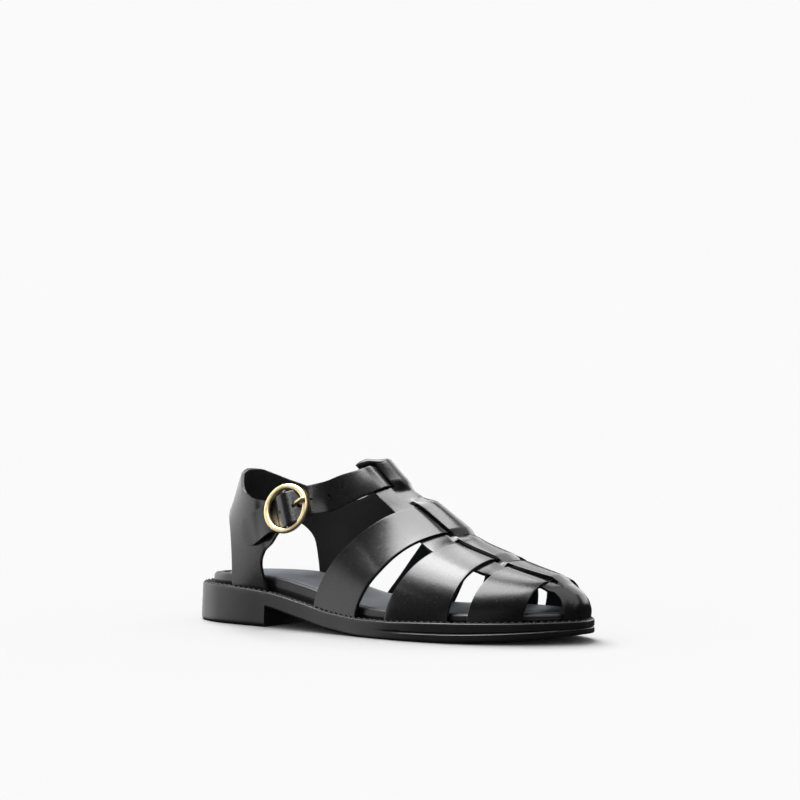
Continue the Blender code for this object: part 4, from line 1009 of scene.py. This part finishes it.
QuarterRow = namedtuple("QuarterRow", "name ux uy uz lx ly lz")
QUARTER_ROWS = [
    QuarterRow("inner instep", 0.467, 0.190, 0.878, 0.514, 0.193, 0.735),
    QuarterRow("inner front", 0.434, 0.212, 0.834, 0.481, 0.225, 0.628),
    QuarterRow("inner front low", 0.403, 0.230, 0.801, 0.438, 0.258, 0.480),
    QuarterRow("above the arch", 0.376, 0.247, 0.772, 0.393, 0.276, 0.325),
    QuarterRow("leg front corner", 0.353, 0.262, 0.754, 0.353, 0.284, 0.000),
    QuarterRow("inner leg foot", 0.322, 0.281, 0.743, 0.295, 0.290, 0.000),
    QuarterRow("leg rear corner", 0.291, 0.293, 0.746, 0.238, 0.300, 0.000),
    QuarterRow("opening low", 0.260, 0.298, 0.758, 0.232, 0.298, 0.350),
    QuarterRow("opening high", 0.229, 0.296, 0.788, 0.222, 0.302, 0.487),
    QuarterRow("opening top", 0.198, 0.290, 0.820, 0.190, 0.298, 0.577),
    QuarterRow("inner ankle", 0.159, 0.267, 0.857, 0.147, 0.273, 0.622),
    QuarterRow("inner heel", 0.128, 0.195, 0.900, 0.107, 0.206, 0.656),
    QuarterRow("heel turn", 0.112, 0.100, 0.928, 0.084, 0.108, 0.683),
    QuarterRow("heel back", 0.108, -0.010, 0.935, 0.079, -0.010, 0.690),
    QuarterRow("outer turn", 0.116, -0.105, 0.912, 0.087, -0.118, 0.672),
    QuarterRow("outer heel", 0.124, -0.148, 0.890, 0.108, -0.212, 0.620),
    QuarterRow("outer ankle", 0.133, -0.181, 0.867, 0.126, -0.266, 0.525),
    QuarterRow("leg rear edge", 0.140, -0.206, 0.848, 0.137, -0.296, 0.390),
    QuarterRow("leg rear foot", 0.147, -0.223, 0.831, 0.143, -0.316, 0.000),
    QuarterRow("outer leg foot", 0.154, -0.236, 0.819, 0.194, -0.318, 0.000),
    QuarterRow("leg front foot", 0.161, -0.249, 0.808, 0.247, -0.321, 0.000),
    QuarterRow("leg front edge", 0.175, -0.264, 0.795, 0.233, -0.325, 0.376),
    QuarterRow("leg front turn", 0.200, -0.289, 0.776, 0.243, -0.332, 0.458),
    QuarterRow("leg front high", 0.226, -0.302, 0.768, 0.266, -0.348, 0.514),
]

BucklePlace = namedtuple("BucklePlace", "x y z azimuth tilt slope")
BUCKLE = BucklePlace(0.310, -0.312, 0.718, 3.6, 17.0, 25.0)
RING_LIFT = QUARTER_LEATHER + 2 * GAP + RING_WIRE
BAR_LIFT = RING_LIFT - RING_WIRE + BAR_RADIUS - LEATHER * 0.3
SLEEVE_RADIUS = BAR_RADIUS + GAP + TAB_LEATHER
BULGE_LIFT = BAR_LIFT + SLEEVE_RADIUS + GAP + QUARTER_LEATHER
STRAP_LIFT = GAP + QUARTER_LEATHER
STRAP_SLACK = 0.0006

STRAP_ALONG = [-2.72, -2.67, -2.51, -2.24, -1.93, -1.64, -1.38, -1.12, -0.86, -0.60, -0.40,
               -0.18, 0.00, 0.18, 0.40, 0.60, 0.86, 1.16]
STRAP_RAISED = [0, 0, 0, 0, 0, 0, 0, 0, 0, 0.16, 0.50, 0.84, 1.00, 0.98, 0.78, 0.44, 0.06, 0]
TabRow = namedtuple("TabRow", "along half lift")
TAB_ROWS = [
    TabRow(-0.95, 1.30, 0.00),
    TabRow(-0.62, 1.10, 0.10),
    TabRow(-0.33, 1.00, 0.55),
    TabRow(-0.12, 1.00, 1.15),
]
InstepRow = namedtuple("InstepRow", "ux uy uz lx ly lz")
INSTEP_ROWS = [
    InstepRow(0.384, -0.217, 0.895, 0.401, -0.248, 0.715),
    InstepRow(0.412, -0.152, 0.934, 0.436, -0.172, 0.769),
]
INSTEP_FANS = (-0.0130, -0.0095, -0.0060, -0.0030, 0.0, 0.0030, 0.0060, 0.0095, 0.0130)
RIBBON_STEPS = 7


def in_sizes(x, y, z):
    """Shares of length, width and instep as a point."""
    return np.array([x * SHOE_LENGTH - HEEL_SEAT, y * BALL_WIDTH, z * INSTEP_HEIGHT])


def buckle_axes():
    """Along the strap to the instep, up across it, and out of it."""
    azimuth, tilt, slope = [math.radians(a) for a in (BUCKLE.azimuth, BUCKLE.tilt, BUCKLE.slope)]
    level = np.array([math.cos(azimuth), math.sin(azimuth), 0.0])
    out = np.array([math.sin(azimuth) * math.cos(tilt), -math.cos(azimuth) * math.cos(tilt),
                    math.sin(tilt)])
    along = level * math.cos(slope) + np.cross(out, level) * math.sin(slope)
    return along, np.cross(out, along), out


ALONG, UPWARD, OUTWARD = buckle_axes()
BUCKLE_SEAT = in_sizes(BUCKLE.x, BUCKLE.y, BUCKLE.z)


def at_buckle(along, up, lift):
    """Point in the buckle's plane, in metres from the bar."""
    return BUCKLE_SEAT + ALONG * along + UPWARD * up + OUTWARD * lift


def strap_pair(along):
    """Strap's two edges at a place in the buckle's plane; its free end is a round tongue."""
    from_tip = (along - STRAP_ALONG[0]) * RING_RADIUS
    inward = max(0.0, 1 - from_tip / TIP_ROUND)
    half = STRAP_WIDTH / 2 * max(TIP_LEAST, (1 - inward ** TIP_CURVE) ** (1 / TIP_CURVE))
    lift = float(smooth(STRAP_ALONG, STRAP_RAISED, along))
    lift = STRAP_LIFT + (BULGE_LIFT - STRAP_LIFT) * lift
    place = along * RING_RADIUS
    ends = ease((along + 1.2) / FULL_EASE) * ease((1.3 - along) / FULL_EASE)
    deeper = STRAP_FULL * float(ends)
    return at_buckle(place, -half - deeper, lift), at_buckle(place, half, lift)


def fan_pair(distance, station):
    """Instep strap's edge where it crosses the band, over its margins and under its middle."""
    share = np.array([distance / side_arc(station, -1 if distance < 0 else 1)])
    out = float(ease((abs(distance) - CENTRE_HALF + WEAVE_RAMP * 0.6) / (WEAVE_RAMP * 1.4)))
    height = UNDER_BAND + (WEAVE_RISE - UNDER_BAND) * out
    return fan_point(station, share)[0] + fan_normal(station, share)[0] * height


def edge_pairs():
    """Lower and upper edge of the ribbon, from the strap's tip round to the buckle tab."""
    pairs = [strap_pair(along) for along in STRAP_ALONG]
    pairs += [(in_sizes(r.lx, r.ly, r.lz), in_sizes(r.ux, r.uy, r.uz)) for r in INSTEP_ROWS]
    pairs += [(fan_pair(distance, 1), fan_pair(distance, 0)) for distance in INSTEP_FANS]
    for row in QUARTER_ROWS:
        lower = in_sizes(row.lx, row.ly, row.lz)
        if row.lz == 0:
            lower = on_ledge(lower[0], -1 if row.ly < 0 else 1)
            lower[2] -= FOOT_SINK
        pairs.append((lower, in_sizes(row.ux, row.uy, row.uz)))
    for row in TAB_ROWS:
        place = row.along * RING_RADIUS
        half = row.half * TAB_HALF
        lift = row.lift * BAR_LIFT
        pairs.append((at_buckle(place, -half, lift), at_buckle(place, half, lift)))
    return pairs


def ribbon_columns():
    slot_half = HOLE_HALF / STRAP_WIDTH
    pin_half = PIN_HALF / STRAP_WIDTH
    below = np.linspace(0.0, 0.5 - slot_half, 9)
    above = np.linspace(0.5 + slot_half, 1.0, 9)
    return np.concatenate([below, [0.5 - pin_half, 0.5, 0.5 + pin_half], above])


COLUMNS = ribbon_columns()
NOTCH_COLUMNS = (8, 9, 10, 11)
PIN_COLUMNS = (9, 10)


def ribbon_grid():
    """Outer face of the ribbon, laid on itself at the strap's free end."""
    pairs = edge_pairs()
    keys = np.arange(len(pairs), dtype=float)
    places = np.linspace(0, len(pairs) - 1, (len(pairs) - 1) * RIBBON_STEPS + 1)
    tip = np.linspace(0.0, 1.0, RIBBON_STEPS + 1) ** 1.4 * 2
    places = np.concatenate([tip[:-1], places[places >= 2.0]])
    low = smooth(keys, np.stack([pair[0] for pair in pairs]), places)
    high = smooth(keys, np.stack([pair[1] for pair in pairs]), places)
    last_strap = len(STRAP_ALONG) - 1
    first_fan = last_strap + 1 + len(INSTEP_ROWS)
    last_fan = first_fan + len(INSTEP_FANS) - 1
    for i, place in enumerate(places):
        if place <= last_strap:
            low[i], high[i] = strap_pair(float(np.interp(place, keys[:last_strap + 1], STRAP_ALONG)))
        elif first_fan <= place <= last_fan:
            distance = float(np.interp(place - first_fan, range(len(INSTEP_FANS)), INSTEP_FANS))
            low[i] = fan_pair(distance, 1)
            high[i] = fan_pair(distance, 0)
    share = COLUMNS[None, :, None]
    grid = low[:, None, :] * (1 - share) + high[:, None, :] * share
    grid = smooth_quarter(grid, places, last_fan + 1, last_fan + len(QUARTER_ROWS))
    return lay_free_end(grid, places, last_fan + 1), places


HEEL_TURNS = np.linspace(0.0, 1.75, 1500)
QUARTER_WAVES = (7, 5)      # waves round the heel in how far the quarter leans in, by height
QUARTER_FOOT = 0.020
QUARTER_TOP = 0.090


def heel_outline():
    """Ledge line from the inner side round the heel to the outer side, and its inward normal."""
    lines = []
    for side, turns in ((1, HEEL_TURNS[:0:-1]), (-1, HEEL_TURNS)):
        line = np.stack(side_line(side, turns, LEDGE), axis=1)
        inner = np.stack(side_line(side, turns, LEDGE + 0.001), axis=1)
        lines.append(np.concatenate([line, (inner - line) / 0.001], axis=1))
    outline = np.concatenate(lines)
    run = np.cumsum(np.linalg.norm(np.diff(outline[:, :2], axis=0, prepend=outline[:1, :2]), axis=1))
    return outline[:, :2], outline[:, 2:], run / run[-1]


OUTLINE, INWARD, OUTLINE_RUN = heel_outline()


def off_outline(points):
    """Place along the heel's outline, distance in from it, and the way in, for each point."""
    gap = points[:, None, :2] - OUTLINE[None]
    near = np.argmin((gap ** 2).sum(axis=2), axis=1)
    inward = INWARD[near]
    return OUTLINE_RUN[near], ((points[:, :2] - OUTLINE[near]) * inward).sum(axis=1), inward


def lean_terms(run, z):
    """Terms of how far the quarter leans in: none at the ledge, waves round it above."""
    rise = (z - QUARTER_FOOT) / (QUARTER_TOP - QUARTER_FOOT)
    terms = [np.cos(k * math.pi * run) * rise for k in range(QUARTER_WAVES[0])]
    terms += [np.cos(k * math.pi * run) * rise ** 2 for k in range(QUARTER_WAVES[1])]
    return np.stack(terms, axis=-1)


def smooth_quarter(grid, places, first, last):
    """Draw the quarter onto one smooth surface through its edges, faded in at both ends."""
    edges = edge_pairs()[first:last + 1]
    points = np.array([end for pair in edges for end in pair])
    run, lean, _ = off_outline(points)
    terms = lean_terms(run, points[:, 2])
    waves = list(range(QUARTER_WAVES[0])) + list(range(QUARTER_WAVES[1]))
    stiff = np.diag([0.001 * k ** 2 for k in waves])
    fit = np.linalg.solve(terms.T @ terms + stiff, terms.T @ lean)
    for i, place in enumerate(places):
        fade = float(ease(place - first) * ease(last - place))
        if fade <= 0:
            continue
        run, lean, inward = off_outline(grid[i])
        moved = (lean_terms(run, grid[i][:, 2]) @ fit - lean) * fade
        grid[i, :, :2] += inward * moved[:, None]
    return grid


def lay_free_end(grid, places, quarter):
    """Press the strap's free end onto the quarter, a gap clear of it."""
    tail = grid[int(np.searchsorted(places, quarter)):]
    columns = tail.shape[1]
    faces = []
    for i in range(len(tail) - 1):
        for j in range(columns - 1):
            a = i * columns + j
            faces.append((a, a + columns, a + columns + 1, a + 1))
    tree = BVHTree.FromPolygons([Vector(point) for point in tail.reshape(-1, 3)], faces)
    out = Vector(OUTWARD)
    for i, place in enumerate(places):
        if place > len(STRAP_ALONG) - 1:
            break
        along = float(np.interp(place, range(len(STRAP_ALONG)), STRAP_ALONG))
        blend = float(ease((-along - 0.8) / 1.5))
        if blend <= 0:
            continue
        for j in range(columns):
            point = Vector(grid[i, j])
            hit, normal, _, _ = tree.ray_cast(point + out * 0.02, -out, 0.06)
            if hit is None:
                continue
            if normal.dot(out) < 0:
                normal = -normal
            laid = hit + normal * (STRAP_LIFT + STRAP_SLACK)
            grid[i, j] = np.array(point.lerp(laid, blend))
    return grid


grid, places = ribbon_grid()
open_cells = {(i, j) for i, place in enumerate(places[:-1]) for j in PIN_COLUMNS
              if HOLE_ROW - 0.01 <= place < HOLE_ROW + 0.99}
open_cells |= {(i, j) for i, place in enumerate(places[:-1]) for j in NOTCH_COLUMNS
               if place >= places[-1] - 1.01}
ribbon = cut_leather("quarter_and_strap", grid, QUARTER_LEATHER, LEATHER_FACES, open_cells)

# Strap holes: punched 10.5 mm apart down the middle of the strap, either side of the one in
# use.
middle_line = grid[:, len(COLUMNS) // 2]
strap_run = np.concatenate([[0], np.cumsum(np.linalg.norm(np.diff(middle_line, axis=0), axis=1))])
in_use = float(np.interp(HOLE_ROW + 0.5, places, strap_run))
punches = []
for count in (-2, -1, 1, 2):
    here = in_use + count * HOLE_PITCH
    row = int(np.searchsorted(strap_run, here))
    centre = np.array([np.interp(here, strap_run, middle_line[:, k]) for k in range(3)])
    ahead = middle_line[row + 1] - middle_line[row - 1]
    outward = np.cross(ahead, grid[row, -1] - grid[row, 0])
    outward /= np.linalg.norm(outward)
    shaft = np.linspace(-HOLE_DEPTH, 0.004, 3)[:, None] * outward + centre
    punches.append(add_mesh(f"punch_{count + 2}", lambda work, shaft=shaft:
                            add_tube(work, shaft, [HOLE_RADIUS] * 3, 14, UPWARD)))
for punch in punches:
    cut = ribbon.modifiers.new("punched hole", "BOOLEAN")
    cut.operation = "DIFFERENCE"
    cut.solver = "EXACT"
    cut.object = punch
settle(ribbon)
for punch in punches:
    bpy.data.objects.remove(punch)
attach(ribbon, "root")
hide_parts("upper")

# Buckle tab: the front of the quarter is skived to 0.9 mm and folded round the bar in two
# sleeves, with the prong between them.


def on_bar(thing, lift):
    """Local Z along the bar, local X towards the instep, made part of the mesh."""
    turn = Matrix([ALONG, np.cross(UPWARD, ALONG), UPWARD]).transposed().to_4x4()
    thing.data.transform(Matrix.Translation(Vector(at_buckle(0.0, 0.0, lift))) @ turn)


def add_turned(work, profile, steps):
    """Ring swept round local Z from a closed profile of (radius, height)."""
    rings = []
    for k in range(steps):
        angle = 2 * math.pi * k / steps
        rings.append([work.verts.new((r * math.cos(angle), r * math.sin(angle), z))
                      for r, z in profile])
    for ring, after in zip(rings, rings[1:] + rings[:1]):
        for j in range(len(profile)):
            n = (j + 1) % len(profile)
            work.faces.new([ring[j], after[j], after[n], ring[n]])


def sleeve_profile(inner, outer, low, high, rounding):
    """Section of a sleeve with its outer corners rounded."""
    arc = np.linspace(0.0, math.pi / 2, 5)
    lower = [(outer - rounding * (1 - math.cos(a)), low + rounding * (1 - math.sin(a)))
             for a in arc[::-1]]
    upper = [(outer - rounding * (1 - math.cos(a)), high - rounding * (1 - math.sin(a)))
             for a in arc]
    return [(inner, high), (inner, low)] + lower + upper


def turn_sleeves(work):
    for low, high in ((-BAR_COVER, -HOLE_HALF - GAP), (HOLE_HALF + GAP, BAR_COVER)):
        add_turned(work, sleeve_profile(BAR_RADIUS + GAP * 0.3, SLEEVE_RADIUS, low, high,
                                        EDGE_ROUND), 32)


sleeves = add_mesh("buckle_tab", turn_sleeves)
on_bar(sleeves, BAR_LIFT)
sleeves.data.materials.append(upper_leather)
settle(sleeves)
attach(sleeves, "root")
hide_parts("upper")

# Ring buckle: a round frame of cast brass with a centre bar, a little flat on its face, and
# plain all round. Its prong is bent wire, swings on the bar and lies across the ring.
RING_FLAT = 3.0             # 2 is a round section, more is squarer
RING_BROAD = 1.14           # its width to its thickness
PRONG_RADIUS = 0.00125
ProngRow = namedtuple("ProngRow", "along lift")
PRONG_ROWS = [
    ProngRow(0.115, 0.58),
    ProngRow(0.26, 0.46),
    ProngRow(0.38, 0.53),
    ProngRow(0.51, 0.92),
    ProngRow(0.63, 1.32),
    ProngRow(0.81, 1.58),
    ProngRow(1.01, 1.69),
    ProngRow(1.15, 1.69),
]


def cast_ring(work):
    profile = []
    for k in range(28):
        angle = 2 * math.pi * k / 28
        flat = (abs(math.cos(angle)) ** RING_FLAT + abs(math.sin(angle)) ** RING_FLAT)
        reach = RING_WIRE * flat ** (-1 / RING_FLAT)
        across = reach * math.cos(angle) * RING_BROAD
        profile.append((RING_RADIUS + across, reach * math.sin(angle)))
    add_turned(work, profile, 144)


ring = add_mesh("ring_frame", cast_ring)
face_on = Matrix([ALONG, UPWARD, OUTWARD]).transposed().to_4x4()
ring.data.transform(Matrix.Translation(Vector(at_buckle(0, 0, RING_LIFT))) @ face_on)
bar_ends = [at_buckle(0.0, reach, BAR_LIFT) for reach in np.linspace(-RING_RADIUS, RING_RADIUS, 9)]
bar = add_mesh("centre_bar", lambda work: add_tube(work, bar_ends, [BAR_RADIUS] * 9, 20, OUTWARD))


def bend_prong(work):
    rows = [(row.along * RING_RADIUS, row.lift * RING_LIFT) for row in PRONG_ROWS]
    keys = np.arange(len(rows))
    fine = np.linspace(0, len(rows) - 1, 43)
    along = smooth(keys, [row[0] for row in rows], fine)
    lift = smooth(keys, [row[1] for row in rows], fine)
    line = [at_buckle(a, 0.0, b) for a, b in zip(along, lift)]
    part = fine / fine[-1]
    taper = PRONG_RADIUS * (1.05 - 0.15 * part)
    tip = np.sqrt(np.maximum(0.0, 1 - np.maximum(0.0, (part - 0.955) / 0.046) ** 2))
    add_tube(work, line, taper * np.maximum(tip, 0.25), 16, UPWARD)


prong = add_mesh("prong", bend_prong)
eye = add_mesh("prong_eye", lambda work: add_turned(work, sleeve_profile(
    BAR_RADIUS + GAP * 0.3, SLEEVE_RADIUS - TAB_LEATHER * 0.1, GAP - HOLE_HALF, HOLE_HALF - GAP,
    0.0003), 32))
on_bar(eye, BAR_LIFT)

# Pale gold: brass castings, barrelled smooth, plated and lacquered. The gloss is broken by the
# marks of the barrel, about 0.3 mm apart, drawn at 0.8 mm.
GOLD_TONES = ("#e9d3a0", "#f6e5bc")
gold, tree, shader = new_material("pale_gold_plate", Metallic=1.0)
barrel = add_noise(tree, 0.0008, 2.0)
cloud = add_noise(tree, 0.006, 2.0)
add_tones(tree, shader, add_range(tree, cloud.outputs[0], 0, 1), GOLD_TONES)
tree.links.new(add_range(tree, cloud.outputs[0], 0.38, 0.46), shader.inputs["Roughness"])
add_relief(tree, shader, [(barrel.outputs[0], 0.00001)])
for piece, node in ((ring, "buckle_ring"), (bar, "buckle_ring"), (prong, "buckle_prong"),
                    (eye, "buckle_prong")):
    piece.data.materials.append(gold)
    settle(piece)
    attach(piece, "root")
    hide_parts(node)
